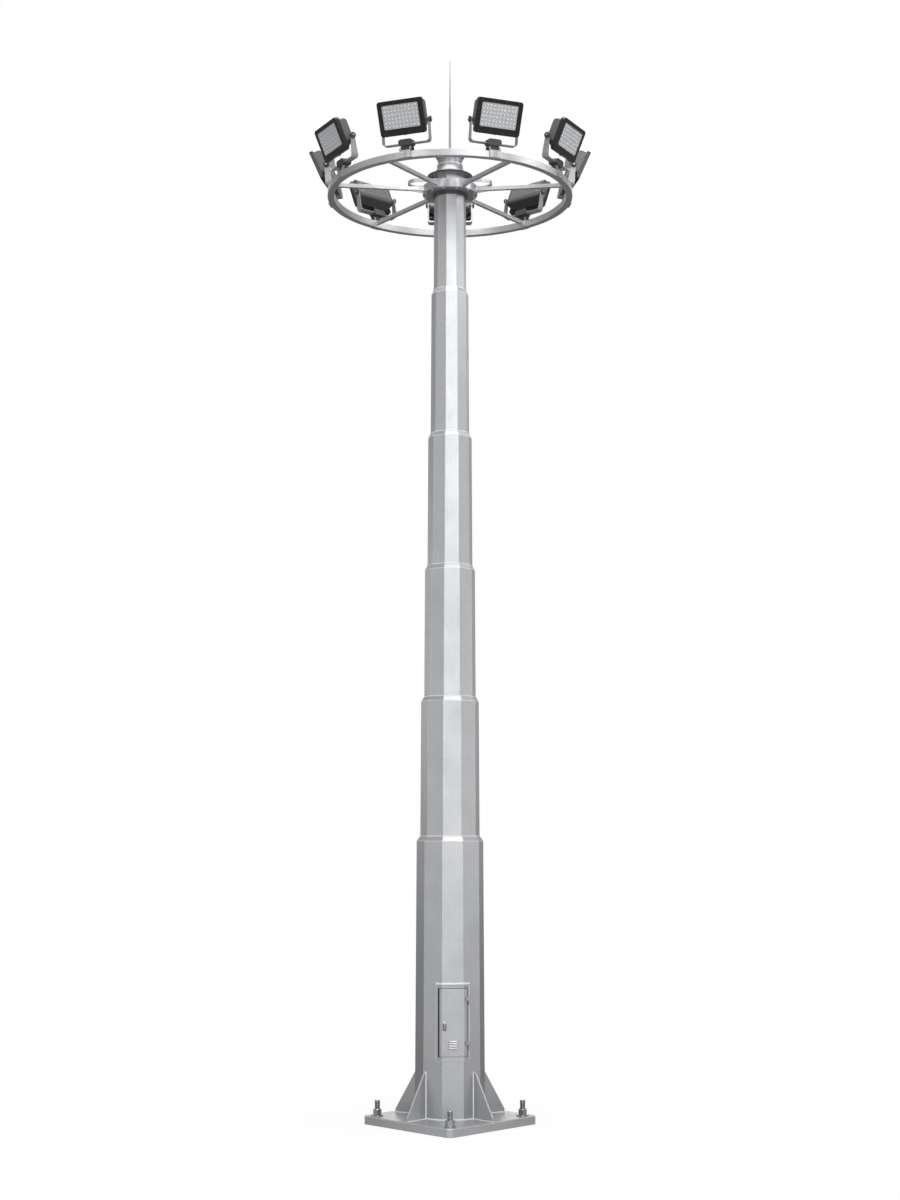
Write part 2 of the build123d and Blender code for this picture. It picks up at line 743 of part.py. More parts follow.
def knuckle():
    """A clamp round the yoke's bar, with a lug that hangs between the fork's ears on a cross bolt."""
    bar_half = yoke_thickness / 2
    top = -yoke_drop + bar_half + knuckle_above_bar
    bottom = -yoke_drop - bar_half - knuckle_below_bar
    outline = RectangleRounded(knuckle_width, top - bottom, knuckle_corner)
    upper = extrude(front_plane * Pos(0, (top + bottom) / 2) * outline, amount=knuckle_depth / 2, both=True)
    slot_half = yoke_bottom_width / 2 + seat_gap
    slot = block(
        (-knuckle_width, knuckle_width), (-slot_half, slot_half),
        (-yoke_drop - bar_half - seat_gap, -yoke_drop + bar_half + seat_gap),
    )
    lug_half = fork_width / 2 - fork_plate - seat_gap
    bolt_level = -yoke_drop - lug_bolt_drop
    lug = block(
        (-lug_half, lug_half), (-lug_offset - lug_depth / 2, -lug_offset + lug_depth / 2),
        (bolt_level, bottom + 5),
    )
    lug += across(lug_depth / 2, -lug_half, lug_half, y=-lug_offset, z=bolt_level)
    bolt = across(lug_bolt_radius, -fork_width / 2, fork_width / 2, y=-lug_offset, z=bolt_level)
    heads = [
        across(lug_head_radius, side * fork_width / 2, side * (fork_width / 2 + lug_head_length),
               y=-lug_offset, z=bolt_level)
        for side in (-1, 1)
    ]
    return (upper - slot) + lug + bolt + heads


def lug_bolt_point():
    """The cross bolt's distance from the mast's axis and its level."""
    lean = radians(yoke_lean)
    y, z = -lug_offset, -yoke_drop - lug_bolt_drop
    return pivot_radius - (y * cos(lean) - z * sin(lean)), pivot_level + y * sin(lean) + z * cos(lean)


def fork_bracket():
    """A saddle over the ring's top and outer face, with two upright ears for the knuckle."""
    half = fork_width / 2
    inner = -ring_inner_radius - fork_inner_set_back
    outer = -ring_radius - fork_plate
    seat = ring_top + fork_plate
    high = seat + fork_ear_height
    front = block((-half, half), (outer, -ring_radius + 10), (ring_level - ring_height / 2, seat))
    front -= disc(ring_radius + seat_gap, 0, seat)
    saddle = block((-half, half), (outer, inner), (ring_top, seat))
    ear = block((half - fork_plate, half), (outer, inner), (seat - 1, high))
    ear = fillet(ear.edges().filter_by(Axis.X).group_by(Axis.Z)[-1], fork_corner)
    bracket = front + saddle + ear + Pos(-fork_width + fork_plate, 0, 0) * ear
    bolt_radius, bolt_level = lug_bolt_point()
    return bracket - across(lug_bolt_radius + seat_gap / 2, -half, half, y=-bolt_radius, z=bolt_level)


def all_pieces():
    """Every piece of the mast by its name."""
    pieces = {
        "base_plate": base_plate(),
        "base_gussets": base_gussets(),
        "anchor_studs": around(anchor_stud(), anchor_bearings()),
        "anchor_nuts": around(anchor_nut(), anchor_bearings()),
        "anchor_washers": around(anchor_washer(), anchor_bearings()),
        "door_surround": door_surround(),
        "door_hinge_pins": hinge_halves(hinge_fixed_half()),
        "access_door": access_door(),
        "door_vent": door_vent(),
        "door_handle": door_handle(),
        "door_hinge_knuckles": hinge_halves(hinge_moving_half()),
        "shaft_collar": shaft_collar(),
        "hub_drum": hub_drum(),
        "spokes": around(spoke(), spoke_bearings),
        "guide_hoops": guide_hoops(),
        "head_skirt": head_skirt(),
        "skirt_seat": skirt_seat(),
        "head_neck": head_neck(),
        "rod_base": rod_base(),
        "lightning_rod": lightning_rod(),
        "lamp_brackets": around(fork_bracket(), lamp_bearings),
    }
    for i in range(len(section_lengths)):
        pieces[f"shaft_section_{i + 1}"] = shaft_section(i)
    for i in range(ring_parts):
        pieces[f"ring_segment_{i + 1}"] = ring_segment(i)
    knobs = pivot_knob() + Rot(0, 0, 180) * pivot_knob()
    for name, shape in (("lamp_yokes", yoke()), ("lamp_knuckles", knuckle()), ("pivot_knobs", knobs)):
        placed = [yoke_place(bearing) * shape for bearing in lamp_bearings]
        pieces[name] = Compound([solid for one in placed for solid in one.solids()])
    housing = lamp_housing()
    panel = lamp_panel()
    for i, bearing in enumerate(lamp_bearings):
        pieces[f"lamp_{i + 1}_housing"] = lamp_place(bearing) * housing
        pieces[f"lamp_{i + 1}_panel"] = lamp_place(bearing) * panel
    return pieces


os.makedirs("parts", exist_ok=True)
for name, shape in all_pieces().items():
    export_step(shape, f"parts/{name}.step")
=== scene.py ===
import json
import logging
from collections.abc import Callable, Iterable, Sequence
from dataclasses import dataclass
from enum import Enum
from math import cos, hypot, pi, radians, sin, tan

import bmesh
import bpy
from mathutils import Matrix, Vector


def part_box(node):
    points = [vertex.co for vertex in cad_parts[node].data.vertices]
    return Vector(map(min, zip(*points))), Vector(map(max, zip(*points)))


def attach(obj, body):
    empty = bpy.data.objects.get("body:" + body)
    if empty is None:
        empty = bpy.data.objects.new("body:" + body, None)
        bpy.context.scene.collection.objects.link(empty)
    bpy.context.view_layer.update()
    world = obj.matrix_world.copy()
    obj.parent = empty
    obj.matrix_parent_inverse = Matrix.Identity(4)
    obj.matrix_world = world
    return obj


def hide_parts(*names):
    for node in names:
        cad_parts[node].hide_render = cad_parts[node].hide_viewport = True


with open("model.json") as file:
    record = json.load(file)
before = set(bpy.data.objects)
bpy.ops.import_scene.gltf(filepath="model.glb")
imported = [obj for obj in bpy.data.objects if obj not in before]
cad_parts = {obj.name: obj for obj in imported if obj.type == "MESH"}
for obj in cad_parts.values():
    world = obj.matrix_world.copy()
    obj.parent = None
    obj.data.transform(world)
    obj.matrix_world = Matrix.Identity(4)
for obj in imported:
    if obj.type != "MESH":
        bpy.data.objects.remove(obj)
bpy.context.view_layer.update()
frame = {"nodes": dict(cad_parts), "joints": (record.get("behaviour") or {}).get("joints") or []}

log = logging.getLogger("mast")

Colour = tuple[float, float, float]
Triple = tuple[float, float, float]
Point = tuple[float, float]
Size = tuple[float, float]  # a bolt's or screw's width and its head's height
BLACK: Colour = (0.0, 0.0, 0.0)
WHITE: Colour = (1.0, 1.0, 1.0)
UP = Vector((0.0, 0.0, 1.0))
ACROSS = Vector((1.0, 0.0, 0.0))
LAMPS = 9
RING_OUTER = 1.508
SUNK = 0.001  # how far a fitting's foot is sunk in what it sits on
LIFT = 0.002  # how far a weld's line stands off the edge that it follows


class Slot(Enum):
    """The record's material slots."""

    GALVANISED = "galvanised_steel"
    ANCHOR = "anchor_steel"
    DARK_STEEL = "dark_steel"
    BRIGHT = "bright_steel"
    CASTING = "dark_casting"
    LAMP = "lamp_black"
    GLASS = "lamp_glass"


class Body(Enum):
    """The bodies of the mast that are not lamps."""

    MAST = "mast"
    DOOR = "access_door"


# ---------------------------------------------------------------- shader sums
class Wire:
    """A shader socket that can be used in Python sums; each sum adds a Math node."""

    def __init__(self, graph: "Graph", socket: bpy.types.NodeSocket) -> None:
        """Keeps the socket with the graph that it belongs to."""
        self.graph = graph
        self.socket = socket

    def _sum(self, operation: str, first: "Wire | float", second: "Wire | float") -> "Wire":
        """Adds one Math node."""
        return self.graph.add("ShaderNodeMath", {"operation": operation}, {0: first, 1: second})

    def __add__(self, other: "Wire | float") -> "Wire":
        """This plus another."""
        return self._sum("ADD", self, other)

    def __radd__(self, other: float) -> "Wire":
        """A number plus this."""
        return self._sum("ADD", other, self)

    def __sub__(self, other: "Wire | float") -> "Wire":
        """This less another."""
        return self._sum("SUBTRACT", self, other)

    def __rsub__(self, other: float) -> "Wire":
        """A number less this."""
        return self._sum("SUBTRACT", other, self)

    def __mul__(self, other: "Wire | float") -> "Wire":
        """This times another."""
        return self._sum("MULTIPLY", self, other)

    def __rmul__(self, other: float) -> "Wire":
        """A number times this."""
        return self._sum("MULTIPLY", other, self)

    def __truediv__(self, other: "Wire | float") -> "Wire":
        """This divided by another."""
        return self._sum("DIVIDE", self, other)

    def at_most(self, other: "Wire | float") -> "Wire":
        """The lesser of this and another."""
        return self._sum("MINIMUM", self, other)

    def at_least(self, other: "Wire | float") -> "Wire":
        """The greater of this and another."""
        return self._sum("MAXIMUM", self, other)

    def part(self, axis: str) -> "Wire":
        """One of a vector's three parts, X, Y or Z."""
        return self.graph.add("ShaderNodeSeparateXYZ", {}, {0: self}, axis)

    def along(self, direction: Triple) -> "Wire":
        """How far a point is along a direction."""
        inputs = {0: self, 1: direction}
        return self.graph.add("ShaderNodeVectorMath", {"operation": "DOT_PRODUCT"}, inputs, "Value")


class Graph:
    """A node tree that is written as calls and sums."""

    def __init__(self, tree: bpy.types.NodeTree) -> None:
        """Empties the tree and keeps it."""
        self.tree = tree
        tree.nodes.clear()

    def add(
        self, kind: str, settings: dict | None = None, inputs: dict | None = None,
        output: str | int = 0,
    ) -> Wire:
        """Adds any node: its settings first, then the values or wires of its sockets.

        Args:
            kind: The node's type.
            settings: Attributes by name; stops are a ramp's places and greys.
            inputs: Numbers, colours or wires by socket name or index.
            output: The output that is wanted.

        Returns:
            The wire from that output, or the first socket of a node that has none.
        """
        node = self.tree.nodes.new(kind)
        for name, value in (settings or {}).items():
            if name == "stops":
                self._set_stops(node.color_ramp, value)
            else:
                setattr(node, name, value)
        for name, value in (inputs or {}).items():
            if isinstance(value, Wire):
                self.tree.links.new(value.socket, node.inputs[name])
            else:
                node.inputs[name].default_value = value
        return Wire(self, node.outputs[output] if len(node.outputs) else node.inputs[0])

    @staticmethod
    def _set_stops(ramp: bpy.types.ColorRamp, stops: Sequence[Point]) -> None:
        """Gives a ramp its stops.

        Args:
            ramp: The ramp.
            stops: The place and the grey of each stop.
        """
        while len(ramp.elements) < len(stops):
            ramp.elements.new(0.5)
        for element, (place, grey) in zip(ramp.elements, stops):
            element.position = place
            element.color = (grey, grey, grey, 1.0)

    def place(self, scale: Triple = (1.0, 1.0, 1.0)) -> Wire:
        """The point on the piece in metres, times a scale on each axis."""
        point = self.add("ShaderNodeTexCoord", output="Object")
        return self.add("ShaderNodeVectorMath", {"operation": "MULTIPLY"}, {0: point, 1: scale})

    def noise(self, place: Wire, scale: float, detail: float = 3.0, rough: float = 0.5) -> Wire:
        """Soft noise about one half."""
        inputs = {"Vector": place, "Scale": scale, "Detail": detail, "Roughness": rough}
        return self.add("ShaderNodeTexNoise", {}, inputs)

    def crystals(self, place: Wire, size: float) -> Wire:
        """One grey for each crystal of about a size."""
        cells = self.add("ShaderNodeTexVoronoi", {}, {"Vector": place, "Scale": 1 / size}, "Color")
        return self.add("ShaderNodeSeparateColor", {}, {0: cells})

    def ramp(self, value: Wire, stops: Sequence[Point]) -> Wire:
        """The value through a grey ramp."""
        return self.add("ShaderNodeValToRGB", {"stops": stops}, {0: value})

    def blend(self, first: "Wire | Colour", second: "Wire | Colour", share: "Wire | float") -> Wire:
        """Mixes two colours.

        Args:
            first: The colour at a share of 0.
            second: The colour at a share of 1.
            share: How far the mix is from the first to the second.

        Returns:
            The mixed colour.
        """
        ends = [c if isinstance(c, Wire) else (*c, 1.0) for c in (first, second)]
        inputs = {0: share, 6: ends[0], 7: ends[1]}
        return self.add("ShaderNodeMix", {"data_type": "RGBA"}, inputs, 2)

    def relief(self, height: Wire, distance: float, strength: float = 1.0) -> Wire:
        """A normal that follows a height in metres times a distance."""
        inputs = {"Height": height, "Distance": distance, "Strength": strength}
        return self.add("ShaderNodeBump", {}, inputs)

    def facing_up(self) -> Wire:
        """How far a face looks up, from 0 to 1."""
        return self.add("ShaderNodeNewGeometry", output="Normal").part("Z").at_least(0.0)

    def surface(self, inputs: dict) -> None:
        """Ends a material in a Principled surface with these inputs."""
        surface = self.add("ShaderNodeBsdfPrincipled", {}, inputs)
        self.add("ShaderNodeOutputMaterial", {}, {0: surface})


# ---------------------------------------------------------------- finishes
class Finish:
    """A finish that makes its material once."""

    name: str
    made: dict[str, bpy.types.Material] = {}

    def material(self) -> bpy.types.Material:
        """Makes the finish's material at first use.

        Returns:
            The material.
        """
        if self.name not in Finish.made:
            material = bpy.data.materials.new(self.name)
            material.use_nodes = True
            graph = Graph(material.node_tree)
            graph.surface(self.sockets(graph, graph.place()))
            Finish.made[self.name] = material
        return Finish.made[self.name]

    def sockets(self, graph: Graph, place: Wire) -> dict:
        """Writes the finish's nodes.

        Args:
            graph: The material's graph.
            place: The point on the piece, in metres.

        Returns:
            The surface's inputs by name.
        """
        raise NotImplementedError


@dataclass(frozen=True)
class Galvanised(Finish):
    """Hot-dip galvanised steel: faint zinc crystals, soft clouds and runs down the plates."""

    name: str = "galvanised"
    pale: Colour = (0.47, 0.475, 0.485)
    grey: Colour = (0.39, 0.395, 0.405)
    crystal: float = 0.016
    metallic: float = 0.72
    roughness: float = 0.36
    relief: float = 0.0005
    runs: Triple = (34.0, 34.0, 1.3)

    def sockets(self, graph: Graph, place: Wire) -> dict:
        """Writes crystals, clouds and runs into colour, roughness and relief.

        Args:
            graph: The material's graph.
            place: The point on the piece, in metres.

        Returns:
            The surface's inputs by name.
        """
        crystals = graph.crystals(place, self.crystal)
        clouds = graph.noise(place, scale=2.6, detail=5.0, rough=0.6)
        clouds = graph.ramp(clouds, [(0.32, 0.0), (0.68, 1.0)])
        runs = graph.noise(graph.place(self.runs), scale=1.0)
        grain = graph.noise(place, scale=420.0, detail=2.0)
        tone = crystals * 0.34 + clouds * 0.36 + runs * 0.3
        height = crystals * 0.25 + grain * 0.5 + runs * 0.25
        return {
            "Base Color": graph.blend(self.pale, self.grey, tone),
            "Metallic": self.metallic,
            "Roughness": self.roughness + clouds * 0.07 + crystals * 0.06,
            "Normal": graph.relief(height, self.relief, strength=0.5),
        }


@dataclass(frozen=True)
class HighlightMetal(Finish):
    """A galvanised weld's metal, painted bright as a highlight, with a fine scale."""

    name: str = "weld_highlight"
    # Both tones are far lighter than the galvanised steel: a painted highlight.
    bright: Colour = (0.86, 0.865, 0.875)
    dull: Colour = (0.64, 0.645, 0.655)
    relief: float = 0.0004

    def sockets(self, graph: Graph, place: Wire) -> dict:
        """Writes a fine mottle.

        Args:
            graph: The material's graph.
            place: The point on the piece, in metres.

        Returns:
            The surface's inputs by name.
        """
        mottle = graph.noise(place, scale=160.0, detail=4.0, rough=0.6)
        grit = graph.noise(place, scale=700.0, detail=2.0)
        return {
            "Base Color": graph.blend(self.bright, self.dull, mottle),
            "Metallic": 0.3,
            "Roughness": 0.28 + mottle * 0.16,
            "Normal": graph.relief(grit, self.relief, strength=0.6),
        }


@dataclass(frozen=True)
class Fastener(Finish):
    """A zinc-plated or stainless bolt, with turned marks."""

    name: str = "zinc_bolt"
    light: Colour = (0.5, 0.505, 0.51)
    dark: Colour = (0.32, 0.325, 0.33)
    roughness: float = 0.3
    marks: Triple = (900.0, 900.0, 260.0)
    relief: float = 0.0003

    def sockets(self, graph: Graph, place: Wire) -> dict:
        """Writes fine scratches and blotches.

        Args:
            graph: The material's graph.
            place: The point on the piece, in metres.

        Returns:
            The surface's inputs by name.
        """
        blotch = graph.noise(place, scale=60.0, detail=4.0, rough=0.6)
        marks = graph.noise(graph.place(self.marks), scale=1.0, detail=2.0)
        return {
            "Base Color": graph.blend(self.light, self.dark, blotch),
            "Metallic": 0.85,
            "Roughness": self.roughness + marks * 0.18,
            "Normal": graph.relief(marks, self.relief, strength=0.5),
        }


@dataclass(frozen=True)
class PowderCoat(Finish):
    """Powder coat on a casting: a fine orange peel, with pale dust where it faces up."""

    name: str = "powder_coat"
    coat: Colour = (0.03, 0.03, 0.032)
    dust: Colour = (0.13, 0.13, 0.135)
    dustiness: float = 0.35
    roughness: float = 0.42
    peel: float = 0.0003
    dulling: float = 0.16
    specular: float = 0.5

    def tone(self, graph: Graph, place: Wire) -> Wire | Colour:
        """The coat's colour, without its dust."""
        return self.coat

    def sockets(self, graph: Graph, place: Wire) -> dict:
        """Writes the peel, a slow change of tone and the dust on upward faces.

        Args:
            graph: The material's graph.
            place: The point on the piece, in metres.

        Returns:
            The surface's inputs by name.
        """
        clouds = graph.noise(place, scale=9.0, detail=4.0, rough=0.6)
        peel = graph.noise(place, scale=380.0, detail=2.0)
        share = (graph.facing_up() * clouds * self.dustiness + clouds * 0.12).at_most(1.0)
        return {
            "Base Color": graph.blend(self.tone(graph, place), self.dust, share),
            "Metallic": 0.0,
            "Roughness": self.roughness + clouds * self.dulling,
            "Specular IOR Level": self.specular,
            "Normal": graph.relief(peel, self.peel, strength=0.6),
        }


@dataclass(frozen=True)
class LampCoat(PowderCoat):
    """Powder coat in two tones: a black front frame and a grey heat sink, whose lower part stays
    black as painted shade.
    """

    dulling: float = 0.12
    specular: float = 0.35
    grey: Colour = (0.078, 0.079, 0.082)
    forward: Triple = (0.0, -1.0, 0.0)
    edge: float = 0.0
    upward: Triple = (0.0, 0.0, 1.0)
    painted_shade_level: float = 0.0

    def tone(self, graph: Graph, place: Wire) -> Wire:
        """Turns the coat grey behind one plane across the lamp, and keeps it black under another
        plane as painted shade.

        Args:
            graph: The material's graph.
            place: The point on the piece, in metres.

        Returns:
            The coat's colour.
        """
        ahead, height = place.along(self.forward), place.along(self.upward)
        behind = graph.ramp((self.edge - ahead) * 200.0 + 0.5, [(0.45, 0.0), (0.55, 1.0)])
        # Under this level the coat stays black: painted shade.
        above = graph.ramp((height - self.painted_shade_level) * 20.0 + 0.5, [(0.3, 0.0), (0.7, 1.0)])
        return graph.blend(self.coat, self.grey, behind * above)


@dataclass(frozen=True)
class Rubber(Finish):
    """Black sealing rubber."""

    name: str = "seal_rubber"
    black: Colour = (0.012, 0.012, 0.013)
    worn: Colour = (0.035, 0.035, 0.037)
    relief: float = 0.0004

    def sockets(self, graph: Graph, place: Wire) -> dict:
        """Writes a matt mottle.

        Args:
            graph: The material's graph.
            place: The point on the piece, in metres.

        Returns:
            The surface's inputs by name.
        """
        mottle = graph.noise(place, scale=120.0, detail=4.0, rough=0.6)
        return {
            "Base Color": graph.blend(self.black, self.worn, mottle),
            "Roughness": 0.7 + mottle * 0.2,
            "Normal": graph.relief(mottle, self.relief, strength=0.5),
        }


@dataclass(frozen=True)
class LensBoard(Finish):
    """The pale board behind the lenses, under its clear cover."""

    name: str = "lens_board"
    pale: Colour = (0.44, 0.445, 0.455)
    shade: Colour = (0.33, 0.335, 0.345)
    relief: float = 0.0002

    def sockets(self, graph: Graph, place: Wire) -> dict:
        """Writes a soft mottle under a glossy coat.

        Args:
            graph: The material's graph.
            place: The point on the piece, in metres.

        Returns:
            The surface's inputs by name.
        """
        mottle = graph.noise(place, scale=26.0)
        fine = graph.noise(place, scale=300.0, detail=2.0)
        return {
            "Base Color": graph.blend(self.pale, self.shade, mottle),
            "Roughness": 0.34 + mottle * 0.12,
            "Coat Weight": 0.5 + mottle * 0.3,
            "Normal": graph.relief(fine, self.relief, strength=0.4),
        }


@dataclass(frozen=True)
class LensDome(Finish):
    """A clear moulded lens over a white emitter."""

    name: str = "lens_dome"
    white: Colour = (0.62, 0.63, 0.64)
    edge: Colour = (0.42, 0.425, 0.44)
    glow: float = 0.06
    relief: float = 0.0002

    def sockets(self, graph: Graph, place: Wire) -> dict:
        """Writes a faint swirl under a glossy coat, with a low glow.

        Args:
            graph: The material's graph.
            place: The point on the piece, in metres.

        Returns:
            The surface's inputs by name.
        """
        swirl = graph.noise(place, scale=220.0, detail=2.0)
        tone = graph.blend(self.white, self.edge, swirl * 0.7)
        return {
            "Base Color": tone,
            "Roughness": 0.16 + swirl * 0.1,
            "Coat Weight": 0.6 + swirl * 0.3,
            "Emission Color": tone,
            "Emission Strength": self.glow,
            "Normal": graph.relief(swirl, self.relief, strength=0.4),
        }


# Galvanised steel: pale and grey tone, crystal size, metallic, roughness, relief.
GALVANISED = Galvanised()
PLATE = Galvanised(
    "galvanised_plate", (0.44, 0.445, 0.455), (0.37, 0.375, 0.385), 0.02, 0.6, 0.32, 0.00006)
DRUM = Galvanised(
    "galvanised_drum", (0.48, 0.485, 0.495), (0.39, 0.395, 0.405), 0.012, 0.82, 0.29, 0.0003)
# A darker copy of the galvanised finish for the bell and neck: painted shade.
BELL_PAINTED_SHADE = Galvanised(
    "galvanised_bell", (0.28, 0.284, 0.292), (0.2, 0.204, 0.212), 0.012, 0.6, 0.36, 0.0003)
ROD = Galvanised(
    "galvanised_rod", (0.29, 0.295, 0.3), (0.24, 0.245, 0.25), 0.008, 0.4, 0.42, 0.0001)
ANCHOR_STEEL = Galvanised(
    "anchor_galvanised", (0.42, 0.425, 0.435), (0.28, 0.284, 0.292), 0.009, 0.9, 0.2)
# A darker copy of the galvanised finish for the brackets and yokes, which paints the shade under
# the lamps.
YOKE_PAINTED_SHADE = Galvanised("galvanised_yoke", (0.3, 0.304, 0.312), (0.24, 0.244, 0.252), 0.011, 0.45, 0.36)
# Powder coat: coat and dust, dustiness, roughness, depth of the peel.
DARK_STEEL = PowderCoat("dark_clamp", (0.045, 0.045, 0.047), (0.16, 0.16, 0.165), 0.4, 0.38, 0.0006)
CASTING = PowderCoat(
    "knuckle_casting", (0.024, 0.024, 0.025), (0.13, 0.13, 0.134), 0.4, 0.4, 0.0005)
LAMP_BLACK = PowderCoat("lamp_coat", (0.007, 0.007, 0.0075), (0.05, 0.05, 0.052), 0.2, 0.45, 0.0003)
LAMP_GREY = PowderCoat(
    "lamp_cover_coat", (0.09, 0.091, 0.094), (0.17, 0.17, 0.175), 0.3, 0.4, 0.0003)
BEZEL_GREY = PowderCoat("bezel_coat", (0.3, 0.303, 0.31), (0.42, 0.42, 0.43), 0.3, 0.4, 0.0002)
SEAT_GREY = PowderCoat("lens_seat", (0.16, 0.162, 0.166), (0.26, 0.26, 0.265), 0.3, 0.45, 0.0002)
# A dark sheet behind the vent's louvres: painted shade between them.
SHADE_SCREEN = PowderCoat("vent_shade_screen", (0.17, 0.172, 0.176), (0.25, 0.252, 0.256), 0.2, 0.5, 0.0002)
KNOB = PowderCoat("knob_plastic", (0.02, 0.02, 0.021), (0.1, 0.1, 0.102), 0.3, 0.4, 0.0003)
# Fasteners: light and dark tone, roughness.
BRIGHT_STEEL = Fastener("bright_handle", (0.62, 0.625, 0.63), (0.46, 0.465, 0.47), 0.22)
HANDLE = Fastener("handle_plate", (0.36, 0.365, 0.37), (0.24, 0.245, 0.25), 0.3)
ZINC_BOLT = Fastener()
DARK_BOLT = Fastener("dark_bolt", (0.12, 0.12, 0.125), (0.07, 0.07, 0.073), 0.34)
# WELD is bright metal that paints a highlight on the welds, the hood's trim, the louvres and the
# boss's rim.
WELD, RUBBER, LENS_BOARD, LENS_DOME = HighlightMetal(), Rubber(), LensBoard(), LensDome()


# ---------------------------------------------------------------- places
def outward(bearing: float) -> Vector:
    """The level direction away from the shaft, at degrees from the front towards +X."""
    return Vector((sin(radians(bearing)), -cos(radians(bearing)), 0.0))


def sideways(bearing: float) -> Vector:
    """The level direction round the shaft at a bearing."""
    return Vector((cos(radians(bearing)), sin(radians(bearing)), 0.0))


def spot(bearing: float, radius: float, level: float, across: float = 0.0) -> Vector:
    """A point by its bearing, its distance out, its level and how far across it is."""
    return outward(bearing) * radius + sideways(bearing) * across + UP * level


def levels(node: str) -> Point:
    """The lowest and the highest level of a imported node."""
    low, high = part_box(node)
    return low.z, high.z


def joint(name: str) -> dict:
    """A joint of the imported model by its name."""
    return next(j for j in frame["joints"] if j["name"] == name)


def steady(run: Vector) -> Vector:
    """Up, or +X where a run is nearly upright."""
    return UP if abs(run.z) < 0.9 else ACROSS


def frame_at(point: Vector, x: Vector, y: Vector, z: Vector) -> Matrix:
    """The frame at a point with these three axes."""
    return Matrix.Translation(point) @ Matrix((x, y, z)).transposed().to_4x4()


def facing(point: Vector, direction: Vector, across: Vector | None = None) -> Matrix:
    """A frame whose Z looks along a direction.

    Args:
        point: The frame's origin.
        direction: Where its Z looks.
        across: Where its X looks, about.

    Returns:
        The frame as a matrix.
    """
    z = direction.normalized()
    x = steady(z).cross(z) if across is None else across
    y = z.cross(x).normalized()
    return frame_at(point, y.cross(z), y, z)


def hanging(point: Vector) -> Matrix:
    """A frame at a point whose Z looks down."""
    return Matrix.Translation(point) @ Matrix.Rotation(pi, 4, "X")


def spread(first: float, last: float, count: int) -> list[float]:
    """Equal steps from one place to another."""
    return [first + (last - first) * i / (count - 1) for i in range(count)]


def quad(start: float, end: float, low: float, high: float) -> tuple[Point, ...]:
    """The corners of a four-sided outline, in order."""
    return ((start, low), (end, low), (end, high), (start, high))


def layers(place: Matrix, outlines: Iterable[tuple[Sequence[Point], float]]) -> list[list[Vector]]:
    """Outlines, each at its height in a frame."""
    return [[place @ Vector((x, y, height)) for x, y in outline] for outline, height in outlines]


